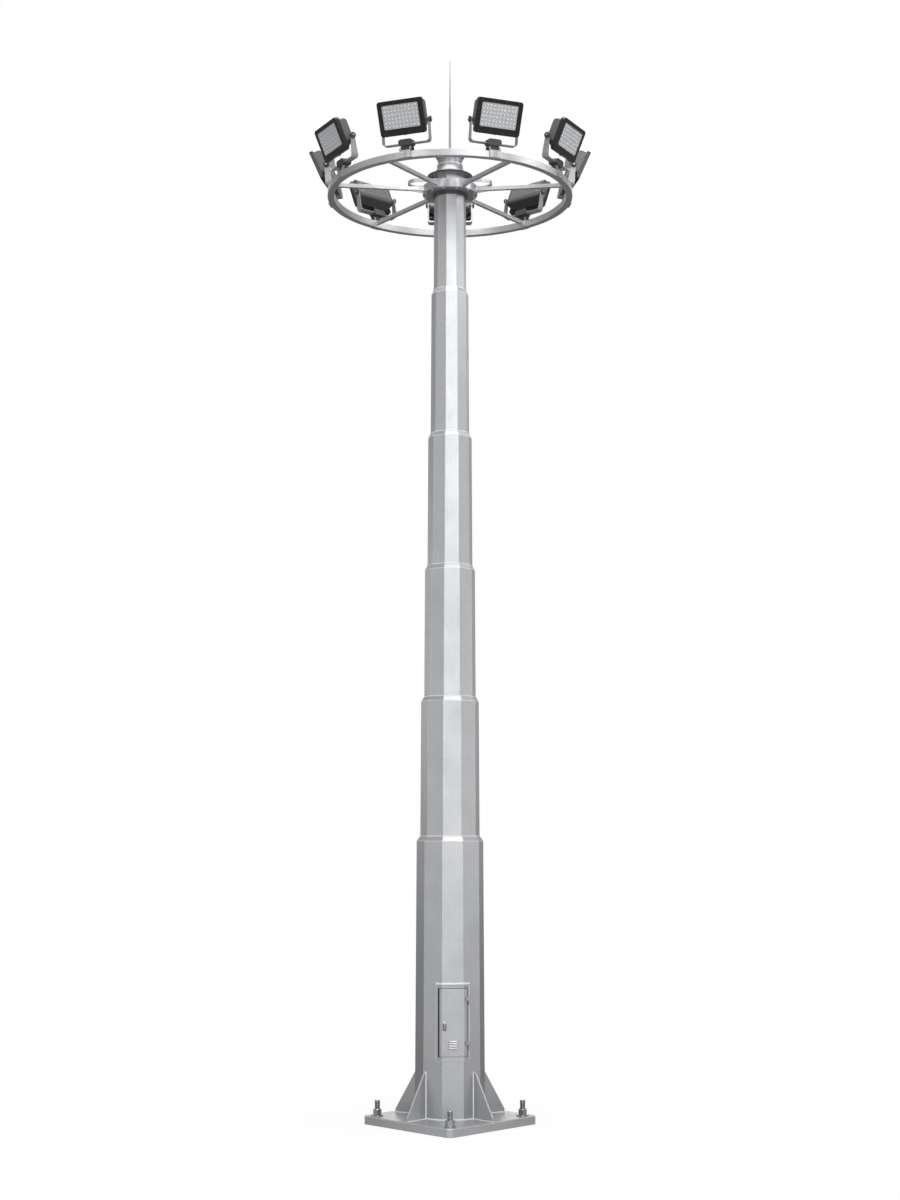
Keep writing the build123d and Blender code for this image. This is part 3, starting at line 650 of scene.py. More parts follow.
# ---------------------------------------------------------------- mesh making
class Form:
    """A mesh in the making."""

    def __init__(self) -> None:
        """Starts an empty mesh."""
        self.mesh = bmesh.new()

    def skin(self, rings: Sequence[Sequence[Vector]], loop: bool = False) -> None:
        """Joins closed rings of points, each of the same count, one to the next.

        Args:
            rings: The rings in order.
            loop: Whether the last ring joins the first; if not, both are filled.
        """
        rows = [[self.mesh.verts.new(p) for p in ring] for ring in rings]
        pairs = list(zip(rows, rows[1:])) + ([(rows[-1], rows[0])] if loop else [])
        for low, high in pairs:
            for i in range(len(low)):
                j = (i + 1) % len(low)
                self.mesh.faces.new((low[i], low[j], high[j], high[i]))
        if not loop:
            self.mesh.faces.new(list(reversed(rows[0])))
            self.mesh.faces.new(rows[-1])

    def lathe(
        self, profile: Sequence[Point], steps: int = 32, place: Matrix = Matrix(),
        loop: bool = False,
    ) -> None:
        """Turns a profile of radii and heights about Z.

        Args:
            profile: Radius and height at each point, from the foot up.
            steps: How many sides the circle has.
            place: The frame that it stands in.
            loop: Whether the profile closes on itself, as a ring's does.
        """
        turns = [2 * pi * i / steps for i in range(steps)]
        self.skin([[place @ Vector((r * cos(t), r * sin(t), z)) for t in turns]
                   for r, z in profile], loop)

    def prism(
        self, outline: Sequence[Point], low: float, high: float, edge: float,
        place: Matrix = Matrix(),
    ) -> None:
        """Raises an outline, with its upper edge turned down.

        Args:
            outline: Points about the middle, anticlockwise.
            low: The foot's height.
            high: The top's height.
            edge: The size of the upper chamfer.
            place: The frame that it stands in.
        """
        shares = [1 - edge / hypot(x, y) for x, y in outline]
        inner = [(x * share, y * share) for (x, y), share in zip(outline, shares)]
        self.skin(layers(place, ((outline, low), (outline, high - edge), (inner, high))))

    def box(self, x: Point, y: Point, z: Point, edge: float, place: Matrix) -> None:
        """A block between two ends on each axis, with all its edges eased.

        Args:
            x: The two ends along X.
            y: The two ends along Y.
            z: The two ends along Z.
            edge: How far its edges are eased; 0 leaves them sharp.
            place: The frame that it stands in.
        """
        verts = [self.mesh.verts.new(place @ Vector((a, b, c))) for a in x for b in y for c in z]
        sides = ((0, 1, 3, 2), (4, 6, 7, 5), (0, 4, 5, 1), (2, 3, 7, 6), (0, 2, 6, 4), (1, 5, 7, 3))
        faces = [self.mesh.faces.new([verts[i] for i in side]) for side in sides]
        if edge:
            bmesh.ops.bevel(self.mesh, geom=list({e for f in faces for e in f.edges}),
                            offset=edge, segments=2, profile=0.5, affect="EDGES")

    def rope(
        self, points: Sequence[Vector], radius: Callable[[int], float], sides: int, closed: bool
    ) -> None:
        """A tube along points, with a radius for each of them.

        Args:
            points: The line that it follows.
            radius: The radius at each point, by its number.
            sides: How many sides the tube has.
            closed: Whether the line ends where it began.
        """
        count = len(points)
        turns = [2 * pi * k / sides for k in range(sides)]
        rings, guide = [], None
        for i, point in enumerate(points):
            before = points[i - 1] if (i or closed) else point
            after = points[(i + 1) % count] if (i + 1 < count or closed) else point
            run = (after - before).normalized()
            if guide is None:
                guide = steady(run)
            guide = (guide - run * guide.dot(run)).normalized()
            beside = run.cross(guide)
            rings.append([point + (guide * cos(t) + beside * sin(t)) * radius(i) for t in turns])
        self.skin(rings, closed)

    def bead(
        self, corners: Sequence[Vector], width: float, closed: bool = False, ripple: float = 0.009
    ) -> None:
        """A weld bead with its ripples, half sunk along a line of corners.

        Args:
            corners: The corners of the line.
            width: The bead's width.
            closed: Whether the line ends where it began.
            ripple: The length of one ripple.
        """
        stops = list(corners) + ([corners[0]] if closed else [])
        points = []
        for a, b in zip(stops, stops[1:]):
            steps = max(2, round((b - a).length / (ripple / 3)))
            points += [a.lerp(b, k / steps) for k in range(steps)]
        if not closed:
            points.append(stops[-1])
        self.rope(points, lambda i: width / 2 * (0.84 + 0.16 * abs(sin(pi * i / 3))), 6, closed)

    def stamp(self, pattern: "Form", places: Iterable[Matrix]) -> None:
        """Copies another form.

        Args:
            pattern: The form to copy.
            places: The frame that each copy stands in.
        """
        source = bpy.data.meshes.new("pattern")
        pattern.mesh.to_mesh(source)
        for place in places:
            copy = source.copy()
            copy.transform(place)
            self.mesh.from_mesh(copy)
            bpy.data.meshes.remove(copy)
        bpy.data.meshes.remove(source)

    def piece(
        self, name: str, finish: Finish, slot: Slot = Slot.GALVANISED,
        body: str = Body.MAST.value, smooth: float = 35.0,
    ) -> bpy.types.Object:
        """Ends the form as an object that rides on a body.

        Args:
            name: The piece's name.
            finish: Its finish.
            slot: The record's slot that its finish belongs to; not used.
            body: The body that it rides on.
            smooth: Edges under this angle in degrees are smooth.

        Returns:
            The object.
        """
        bmesh.ops.recalc_face_normals(self.mesh, faces=self.mesh.faces[:])
        data = bpy.data.meshes.new(name)
        self.mesh.to_mesh(data)
        self.mesh.free()
        data.shade_smooth()
        data.set_sharp_from_angle(angle=radians(smooth))
        data.materials.append(finish.material())
        made = bpy.data.objects.new(name, data)
        bpy.context.scene.collection.objects.link(made)
        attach(made, body)
        log.info("%s: %d faces on %s", name, len(data.polygons), body)
        return made


def polygon(sides: int, radius: float) -> list[Point]:
    """The corners of a regular outline, anticlockwise."""
    turns = [2 * pi * i / sides for i in range(sides)]
    return [(radius * cos(t), radius * sin(t)) for t in turns]


def rounded(width: float, height: float, corner: float, steps: int) -> list[Point]:
    """A rectangle with round corners.

    Args:
        width: Its width.
        height: Its height.
        corner: The radius of its corners.
        steps: How many sides each corner has.

    Returns:
        Its points, anticlockwise.
    """
    points = []
    for k, (right, over) in enumerate(((1, 1), (-1, 1), (-1, -1), (1, -1))):
        for i in range(steps + 1):
            t = pi / 2 * (k + i / steps)
            points.append((right * (width / 2 - corner) + corner * cos(t),
                           over * (height / 2 - corner) + corner * sin(t)))
    return points


def hexagon_bolt(flats: float, head: float, washer: bool = True) -> Form:
    """A hexagon head on a washer, looking along Z from its seat at the origin.

    Args:
        flats: The size across the flats.
        head: The head's height.
        washer: Whether it has a washer.

    Returns:
        The bolt.
    """
    form = Form()
    thick = 0.14 * flats if washer else 0.0
    if washer:
        rim = 1.1 * flats
        ease = 0.3 * thick
        form.lathe([(rim, -SUNK), (rim, thick - ease), (rim - ease, thick)], steps=24)
    corner = flats / 2 / cos(pi / 6)
    form.prism(polygon(6, corner), thick - SUNK / 2, thick + head, edge=0.08 * flats)
    return form


def socket_screw(radius: float, head: float) -> Form:
    """A round screw head with a six-sided socket, looking along Z from its seat.

    Args:
        radius: The head's radius.
        head: The head's height.

    Returns:
        The screw.
    """
    form = Form()
    edge = 0.16 * radius
    form.lathe([(radius, -SUNK), (radius, head - edge), (radius - edge, head)], steps=20)
    socket = polygon(6, radius * 0.5)
    form.skin(layers(Matrix(), ((socket, head + 0.0002), (socket, head + 0.0004))))
    return form


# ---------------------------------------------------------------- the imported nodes
@dataclass
class Mast:
    """Levels and radii of the ten-sided shaft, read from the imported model."""

    sides: int = 10
    turn: float = 5.0
    sections: int = 6
    slope: float = 0.0045
    reducer: float = 0.055
    rim: float = 0.001

    def __post_init__(self) -> None:
        """Reads each section's foot, top and foot radius."""
        self.nodes = [f"shaft_section_{i + 1}" for i in range(self.sections)]
        self.foot, self.top = zip(*(levels(node) for node in self.nodes))
        self.radius = []
        for node, foot in zip(self.nodes, self.foot):
            points = [v.co for v in frame["nodes"][node].data.vertices]
            self.radius.append(max(hypot(p.x, p.y) for p in points if p.z < foot + self.rim))
        self.half_angle = pi / self.sides
        self.plate_top = levels("base_plate")[1]

    def corner_radius(self, level: float, section: int = 0) -> float:
        """The corner radius at a level of a section."""
        return self.radius[section] - self.slope * (level - self.foot[section])

    def apothem(self, level: float, section: int = 0) -> float:
        """How far out the flats are at a level of a section."""
        return self.corner_radius(level, section) * cos(self.half_angle)

    def corner(self, index: int, level: float, grown: float, section: int = 0) -> Vector:
        """A corner of the shaft; corner 0 is on the right of the front flat."""
        bearing = self.turn + 360.0 / self.sides * (index + 0.5)
        return spot(bearing, self.corner_radius(level, section) + grown, level)

    def outline(self, level: float, grown: float, section: int = 0) -> list[Vector]:
        """All the corners at a level, each moved out by as much."""
        return [self.corner(i, level, grown, section) for i in range(self.sides)]

    def on_flats(self, across: float, level: float, proud: float) -> Vector:
        """A point on the flats round the door.

        Args:
            across: How far it is from the front flat's middle.
            level: Its level.
            proud: How far it stands off the shaft.

        Returns:
            The point.
        """
        depth = self.apothem(level) + proud
        if abs(across) > depth * tan(self.half_angle):
            depth = (depth - abs(across) * sin(2 * self.half_angle)) / cos(2 * self.half_angle)
        return spot(self.turn, depth, level, across)

    def flat_breaks(self, low: float, high: float, level: float, proud: float) -> list[float]:
        """The places across a strip where it starts, bends over a corner and ends."""
        corner = (self.apothem(level) + proud) * tan(self.half_angle)
        return [low] + [c for c in (-corner, corner) if low < c < high] + [high]


def ease_edges(part: bpy.types.Object, width: float, segments: int) -> None:
    """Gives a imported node's hard edges a small radius, without changing its mesh.

    Args:
        part: The node's object.
        width: The radius of its edges.
        segments: How many faces the radius has.
    """
    flats = part.modifiers.new("flats", "DECIMATE")
    flats.decimate_type = "DISSOLVE"
    flats.angle_limit = radians(0.5)
    ease = part.modifiers.new("ease", "BEVEL")
    ease.width = width
    ease.segments = segments
    ease.limit_method = "ANGLE"
    ease.angle_limit = radians(25.0)
    ease.harden_normals = True
    ease.use_clamp_overlap = True
    level = part.modifiers.new("level", "WEIGHTED_NORMAL")
    level.weight = 100
    level.keep_sharp = True


def dress(nodes: Iterable[str], finish: Finish, edge: float = 0.0, segments: int = 2) -> None:
    """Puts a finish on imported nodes, joins their faces and eases their edges.

    Args:
        nodes: The nodes' names.
        finish: The finish.
        edge: The radius of their edges; 0 leaves them as they are.
        segments: How many faces the radius has.
    """
    for node in nodes:
        part = frame["nodes"][node]
        if not part.data.materials:
            part.data.materials.append(None)
        for slot in part.material_slots:
            slot.link = "OBJECT"
            slot.material = finish.material()
        part.modifiers.new("weld", "WELD").merge_threshold = 0.00001
        if edge:
            ease_edges(part, edge, segments)


# ---------------------------------------------------------------- base
@dataclass
class Base:
    """The base plate with its welds and its threaded anchors."""

    mast: Mast
    gussets: tuple[float, ...] = (45.0, 112.5, 180.0, 247.5, 315.0)
    reach: float = 0.69
    height: float = 0.525
    half_thick: float = 0.011
    # Weld beads: where they start and stop, then their widths.
    weld_start: float = 0.012
    weld_stop: float = 0.004
    shaft_gap: float = 0.003
    foot_lift: float = 0.003
    foot_grown: float = 0.005
    foot_weld: float = 0.026
    plate_weld: float = 0.016
    shaft_weld: float = 0.02
    end_weld: float = 0.013
    top_weld: float = 0.014
    # Anchors and their thread.
    anchors: tuple[float, ...] = (0.0, 90.0, 180.0, 270.0)
    anchor_circle: float = 0.844
    thread_outer: float = 0.032
    thread_root: float = 0.0285
    thread_pitch: float = 0.006
    tip_inset: float = 0.001
    thread_sides: int = 24
    rows_per_turn: int = 6

    def build(self) -> None:
        """Makes the welds and studs and dresses the plate."""
        dress(["base_plate"], PLATE, edge=0.003, segments=3)
        dress(["base_gussets"], GALVANISED, edge=0.0025)
        dress(["anchor_washers"], ANCHOR_STEEL, edge=0.0015)
        dress(["anchor_nuts"], ANCHOR_STEEL, edge=0.0025)
        self._welds()
        self._studs()

    def _skin(self, bearing: float, level: float) -> float:
        """Finds how far out the shaft's skin is.

        Args:
            bearing: The bearing in degrees.
            level: The level.

        Returns:
            The distance from the shaft's middle.
        """
        step = 360.0 / self.mast.sides
        off = (bearing - self.mast.turn + step / 2) % step - step / 2
        return self.mast.apothem(level) / cos(radians(off))

    def _welds(self) -> None:
        """Beads round the shaft's foot, along each gusset's sides and across its ends."""
        top = self.mast.plate_top
        peak, low = top + self.height, top + LIFT
        side = self.half_thick + LIFT
        form = Form()
        foot = self.mast.outline(top + self.foot_lift, self.foot_grown)
        form.bead(foot, self.foot_weld, closed=True)
        for bearing in self.gussets:
            inner, upper = self._skin(bearing, top), self._skin(bearing, peak)
            plate = ((inner + self.weld_start, low), (self.reach - self.weld_stop, low))
            shaft = ((inner + self.shaft_gap, top + self.weld_start),
                     (upper + self.shaft_gap, peak))
            for across in (-side, side):
                for ends, width in ((plate, self.plate_weld), (shaft, self.shaft_weld)):
                    form.bead([spot(bearing, r, z, across) for r, z in ends], width)
            for r, z, width in ((self.reach + LIFT, low, self.end_weld),
                                (upper + LIFT, peak + LIFT / 2, self.top_weld)):
                form.bead([spot(bearing, r, z, across)
                           for across in (-self.half_thick, self.half_thick)], width)
        form.piece("base_welds", WELD)

    def _studs(self) -> None:
        """Rolled studs with a running thread, in place of the plain ones."""
        stud = self._thread(*levels("anchor_studs"))
        form = Form()
        form.stamp(stud, [Matrix.Translation(spot(b, self.anchor_circle, 0.0))
                          for b in self.anchors])
        studs = form.piece("threaded_studs", ANCHOR_STEEL, Slot.ANCHOR, smooth=25.0)
        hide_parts("anchor_studs")

    def _thread(self, low: float, high: float) -> Form:
        """One stud with a V thread from end to end and chamfered tips.

        Args:
            low: Its lowest level.
            high: Its highest level.

        Returns:
            The stud, upright at the origin.
        """
        form = Form()
        count = round((high - low) / (self.thread_pitch / self.rows_per_turn))
        depth = self.thread_outer - self.thread_root
        rings = []
        for k in range(count + 1):
            level = low + (high - low) * k / count
            tip = self.thread_root - self.tip_inset + min(high - level, level - low)
            ring = []
            for i in range(self.thread_sides):
                phase = ((level - low) / self.thread_pitch - i / self.thread_sides) % 1.0
                radius = min(self.thread_root + depth * abs(2 * phase - 1), tip)
                turn = 2 * pi * i / self.thread_sides
                ring.append(Vector((radius * cos(turn), radius * sin(turn), level)))
            rings.append(ring)
        form.skin(rings)
        return form


# ---------------------------------------------------------------- shaft
@dataclass
class Shaft:
    """The six sections with their seams and joint welds."""

    mast: Mast
    seam_corner: int = 9
    seam_width: float = 0.008
    seam_start: float = 0.01
    seam_stop: float = 0.004
    seam_sunk: float = 0.0012
    seam_ripple: float = 0.03
    reducer_width: float = 0.007
    reducer_ripple: float = 0.012
    joint_width: float = 0.012

    def build(self) -> None:
        """Dresses the sections and adds their seams and the joints' welds."""
        mast = self.mast
        dress(mast.nodes, GALVANISED, edge=0.004, segments=3)
        top = levels("shaft_collar")[0] - self.seam_stop
        welds, seams = Form(), Form()
        for i in range(mast.sections):
            last = i == mast.sections - 1
            low = mast.foot[i] + self.seam_start
            high = top if last else mast.top[i] - mast.reducer
            for corner in (self.seam_corner, self.seam_corner - mast.sides // 2):
                ends = [mast.corner(corner, level, -self.seam_sunk, i) for level in (low, high)]
                seams.bead(ends, self.seam_width, ripple=self.seam_ripple)
            if not last:
                lip = mast.outline(high, 0.0, i)
                foot = mast.outline(mast.foot[i + 1] + LIFT, LIFT, i + 1)
                welds.bead(lip, self.reducer_width, closed=True, ripple=self.reducer_ripple)
                welds.bead(foot, self.joint_width, closed=True)
        welds.piece("shaft_welds", WELD)
        seams.piece("shaft_seams", DRUM)


# ---------------------------------------------------------------- door
@dataclass
class Door:
    """The access door with its surround, seal, vent, lock and hinges."""

    mast: Mast
    # The leaf, its gap to the shaft's opening, and how far it and its plates stand proud.
    bottom: float = 0.808
    width: float = 0.332
    height: float = 0.766
    gap: float = 0.006
    proud: float = 0.014
    plate: float = 0.009
    # Surround and hood.
    surround_half: float = 0.19
    surround_corner: float = 0.026
    surround_weld: float = 0.01
    surround_gap: float = 0.001
    hood: float = 0.03
    hood_roll: float = 0.0085
    hood_drop: float = 0.008
    # Seal, with how far its two faces stand off the shaft.
    seal_width: float = 0.011
    seal_face: Point = (0.0004, 0.005)
    seal_lap: float = 0.003
    # Vent: a louvre's section is the height and the depth of each corner.
    rivet_across: float = 0.0525
    rivet_inset: float = 0.0055
    rivet: tuple[Point, ...] = (
        (0.0042, -0.0005), (0.004, 0.001), (0.0028, 0.0022), (0.001, 0.0028),
    )
    louvres: int = 5
    vent_half: float = 0.046
    vent_margin: float = 0.01
    louvre: tuple[Point, ...] = (
        (0.0045, -0.0005), (0.0105, -0.0005), (0.0085, 0.0055),
        (0.0015, 0.0085), (0.0005, 0.007), (0.0035, 0.0045),
    )
    screen_back: Point = (0.0105, 0.0095)
    # Handle and lock: the barrel and the rim are turned from radii and heights.
    handle_across: float = -0.098
    boss_drop: float = 0.0275
    boss: float = 0.008
    barrel: tuple[Point, ...] = (
        (0.0095, -0.001), (0.0095, 0.0024), (0.0082, 0.0034), (0.0058, 0.0034), (0.0058, 0.0012),
    )
    boss_rim: tuple[Point, ...] = (
        (0.0178, -0.012), (0.0178, -0.001), (0.0165, 0.001), (0.0105, 0.001), (0.0105, -0.012),
    )
    plate_screw: Size = (0.0045, 0.0022)
    plate_screw_level: float = 0.0065
    recess_half: float = 0.016
    recess_margin: float = 0.0125
    recess_back: Point = (-0.0137, -0.0129)
    # Hinges: the strap's screws are so far under its top.
    hinge_turn: float = 36.0
    hinge_step: float = 0.496
    strap_screw: Size = (0.0052, 0.0026)
    strap_screws: tuple[float, ...] = (0.012, 0.034)
    strap_across: float = 0.036
    strap_proud: float = 0.0045
    pin_head: tuple[Point, ...] = ((0.0062, -0.001), (0.0062, 0.0022), (0.0045, 0.0034))

    def build(self) -> None:
        """Dresses the door and its surround and adds their fittings."""
        dress(["door_surround"], GALVANISED, edge=0.0025)
        dress(["access_door", "door_vent"], GALVANISED, edge=0.0015)
        dress(["door_handle"], HANDLE, edge=0.0015)
        dress(["door_hinge_pins", "door_hinge_knuckles"], GALVANISED, edge=0.0012)
        self._surround_weld()
        self._hood_trim()
        self._seal()
        self._vent_fittings()
        self._handle_fittings()
        self._hinge_fittings()

    def _points(self, places: Iterable[Point], proud: float) -> list[Vector]:
        """Points on the flats, from how far across and how high they are."""
        return [self.mast.on_flats(across, level, proud) for across, level in places]

    def _face(self, across: float, level: float, proud: float) -> Matrix:
        """A frame on the front flat whose Z looks out of it."""
        turn = self.mast.turn
        return facing(self.mast.on_flats(across, level, proud), outward(turn), sideways(turn))

    def _surround_weld(self) -> None:
        """A bead round the surround's outer edge, where it stands on the shaft."""
        low, high = levels("door_surround")
        half, corner = self.surround_half, self.surround_corner
        arc = [(corner * sin(t), low + corner - corner * cos(t)) for t in (pi / 6, pi / 3)]
        foot = self.mast.flat_breaks(corner - half, half - corner, low, 0.0)
        head = self.mast.flat_breaks(-half, half, high, 0.0)
        path = [(x, low - LIFT) for x in foot]
        path += [(half - corner + x, level) for x, level in arc]
        path += [(half + LIFT, low + corner), (half + LIFT, high)]
        path += [(x, high + LIFT) for x in reversed(head)]
        path += [(-half - LIFT, low + corner)]
        path += [(corner - half - x, level) for x, level in reversed(arc)]
        form = Form()
        form.bead(self._points(path, self.surround_gap), self.surround_weld, closed=True)
        form.piece("surround_weld", WELD)

    def _hood_trim(self) -> None:
        """A rolled bead along the hood's lip, in bright metal that paints the lip's highlight."""
        high = levels("door_surround")[1]
        proud = self.proud + self.hood
        breaks = self.mast.flat_breaks(-self.surround_half, self.surround_half, high, proud)
        form = Form()
        line = self._points([(x, high - self.hood_drop) for x in breaks], proud - LIFT)
        form.rope(line, lambda i: self.hood_roll, sides=12, closed=False)
        form.piece("hood_trim", WELD)

    def _seal(self) -> None:
        """A rubber strip on the shaft round the hand hole, behind the leaf's edge."""
        margin = self.gap - self.seal_lap
        half = self.width / 2 + margin
        low, high = self.bottom - margin, self.bottom + self.height + margin
        thick = self.seal_width
        form = Form()
        for start, end in ((-half, thick - half), (half - thick, half)):
            form.skin([[self.mast.on_flats(x, level, proud)
                        for x, proud in quad(start, end, *self.seal_face)]
                       for level in (low, high)])
        for start, end in ((low, low + thick), (high - thick, high)):
            form.skin([[self.mast.on_flats(x, level, proud)
                        for level, proud in quad(start, end, *self.seal_face)]
                       for x in self.mast.flat_breaks(-half, half, start, LIFT)])
        form.piece("door_seal", RUBBER, Slot.DARK_STEEL)

    def _vent_fittings(self) -> None:
        """The vent's louvres in bright metal as a painted highlight, a dark screen behind them as
        painted shade between them, and a rivet at each corner.
        """
        low, high = levels("door_vent")
        face, half = self.proud + self.plate, self.vent_half
        rivet, rivets, louvres, screen = Form(), Form(), Form(), Form()
        rivet.lathe(self.rivet, steps=14)
        rivets.stamp(rivet, [self._face(x, level, face)
                             for x in (-self.rivet_across, self.rivet_across)
                             for level in (low + self.rivet_inset, high - self.rivet_inset)])
        rivets.piece("vent_rivets", BRIGHT_STEEL, Slot.BRIGHT, Body.DOOR.value)
        start, end = low + self.vent_margin, high - self.vent_margin
        pitch = (end - start) / self.louvres
        for i in range(self.louvres):
            level = start + pitch * (i + 0.5)
            louvres.skin([[self.mast.on_flats(x, level + z, face + out) for z, out in self.louvre]
                          for x in (-half, half)])
        louvres.piece("vent_louvres", WELD, body=Body.DOOR.value)
        back, front = (face - depth for depth in self.screen_back)
        screen.skin([[self.mast.on_flats(x, level, out)
                      for x, out in quad(-half, half, back, front)] for level in (start, end)])
        screen.piece("vent_shade_screen", SHADE_SCREEN, body=Body.DOOR.value)

    def _handle_fittings(self) -> None:
        """The lock's barrel, the boss's rim in bright metal as a painted highlight, a dark sheet in
        the recess as painted shade, and the plate's screw.
        """
        low, high = levels("door_handle")
        boss, plate = high - self.boss_drop, self.proud + self.plate
        place = self._face(self.handle_across, boss, plate + self.boss)
        lock, rim, shade_sheet = Form(), Form(), Form()
        lock.lathe(self.barrel, 28, place)
        screw = self._face(self.handle_across, low + self.plate_screw_level, plate)
        lock.stamp(socket_screw(*self.plate_screw), [screw])
        lock.piece("handle_lock", ZINC_BOLT, Slot.BRIGHT, Body.DOOR.value)
        rim.lathe(self.boss_rim, 36, place, loop=True)
        rim.piece("handle_boss_rim", WELD, Slot.BRIGHT, Body.DOOR.value)
        half, margin = self.recess_half, self.recess_margin
        # A dark sheet in the recess: painted shade.
        shade_sheet.box((-half, half), (low + margin - boss, -margin), self.recess_back, 0.0, place)
        shade_sheet.piece("handle_recess_shade_sheet", RUBBER, Slot.BRIGHT, Body.DOOR.value)

    def _hinge_fittings(self) -> None:
        """A screw pair in each hinge strap and a head on each hinge pin."""
        top, foot = levels("door_hinge_knuckles")[1], levels("door_hinge_pins")[0]
        axis = Vector(joint("door_hinge")["pos_m"]) * Vector((1.0, 1.0, 0.0))
        bearing = self.mast.turn + self.hinge_turn
        out, side = outward(bearing), sideways(bearing)
        screw, screws, heads = socket_screw(*self.strap_screw), Form(), Form()
        for lift in (0.0, self.hinge_step):
            for drop in self.strap_screws:
                point = axis + UP * (top - lift - drop)
                point += out * self.strap_proud - side * self.strap_across
                screws.stamp(screw, [facing(point, out, side)])
            heads.lathe(self.pin_head, 20, hanging(axis + UP * (foot + lift)))
        screws.piece("hinge_screws", ZINC_BOLT, body=Body.DOOR.value)
        heads.piece("hinge_pin_heads", ZINC_BOLT)


# ---------------------------------------------------------------- hub and ring
@dataclass
class Hub:
    """The collar, drum, spokes, ring and guide hoops with their welds and bolts."""

    mast: Mast
    # Drum and collar.
    drum_radius: float = 0.337
    drum_bolts: int = 12
    drum_bolt: Size = (0.024, 0.014)
    drum_bolt_inset: float = 0.03
    collar_thick: float = 0.018
    collar_bolt: Size = (0.018, 0.011)
    # Ring, spokes and their beads.
    ring_outer: float = RING_OUTER
    ring_width: float = 0.08
    spokes: tuple[float, ...] = (31.0, 76.0, 139.0, 221.0, 284.0, 329.0)
    spoke_half: float = 0.0225
    spoke_lift: float = 0.013
    spoke_weld: float = 0.009
    spoke_grown: float = 0.0015
    shaft_weld: float = 0.012
    shaft_lift: float = 0.001
    shaft_grown: float = 0.004
    joints: tuple[float, ...] = (0.0, 120.0, 240.0)
    joint_weld: float = 0.005

    def build(self) -> None:
        """Dresses the hub and adds its fittings."""
        segments = [f"ring_segment_{i + 1}" for i in range(len(self.joints))]
        dress(["shaft_collar"], DARK_STEEL, edge=0.002)
        dress(["hub_drum"], DRUM, edge=0.002)
        dress(["spokes"], GALVANISED, edge=0.0025)
        dress(segments, GALVANISED, edge=0.005, segments=3)
        dress(["guide_hoops"], GALVANISED, edge=0.0015)
        self._collar_bolts()
        self._drum_bolts()
        self._welds()
        self._ring_seams()

    def _collar_bolts(self) -> None:
        """A hexagon bolt in the middle of each of the collar's flats."""
        low, high = levels("shaft_collar")
        radius = self.mast.apothem(low, self.mast.sections - 1) + self.collar_thick
        bearings = [self.mast.turn + 360.0 / self.mast.sides * i for i in range(self.mast.sides)]
        places = [facing(spot(b, radius, (low + high) / 2), outward(b)) for b in bearings]
        form = Form()
        form.stamp(hexagon_bolt(*self.collar_bolt), places)
        form.piece("collar_bolts", DARK_BOLT, Slot.DARK_STEEL)

    def _drum_bolts(self) -> None:
        """Bolts through the drum's lower and upper plates, between the spokes."""
        low, high = levels("hub_drum")
        bolt = hexagon_bolt(*self.drum_bolt)
        radius, step = self.drum_radius - self.drum_bolt_inset, 360.0 / self.drum_bolts
        form = Form()
        for i in range(self.drum_bolts):
            foot, top = (spot(step * (i + 0.5), radius, level) for level in (low, high))
            form.stamp(bolt, [hanging(foot), Matrix.Translation(top)])
        form.piece("drum_bolts", ZINC_BOLT)

    def _welds(self) -> None:
        """Beads at the drum's top and at the spokes' ends."""
        low, high = levels("hub_drum")
        form = Form()
        top = self.mast.outline(high + self.shaft_lift, self.shaft_grown, self.mast.sections - 1)
        form.bead(top, self.shaft_weld, closed=True)
        grown, half = self.spoke_grown, self.spoke_half
        ring_level = sum(levels("ring_segment_1")) / 2 + self.spoke_lift
        ends = ((self.drum_radius + grown, (low + high) / 2),
                (self.ring_outer - self.ring_width - grown, ring_level))
        for bearing in self.spokes:
            for radius, level in ends:
                reach = (radius * radius - half * half) ** 0.5
                corners = [spot(bearing, reach, level + z, x)
                           for x, z in quad(-half, half, half, -half)]
                form.bead(corners, self.spoke_weld, closed=True)
        form.piece("hub_welds", WELD)

    def _ring_seams(self) -> None:
        """The flat seams, zinc-coated with the ring, where its segments meet."""
        low, high = levels("ring_segment_1")
        outline = quad(self.ring_outer - self.ring_width, self.ring_outer, low, high)
        form = Form()
        for bearing in self.joints:
            form.bead([spot(bearing, r, z) for r, z in outline], self.joint_weld, closed=True)
        form.piece("ring_seams", GALVANISED)


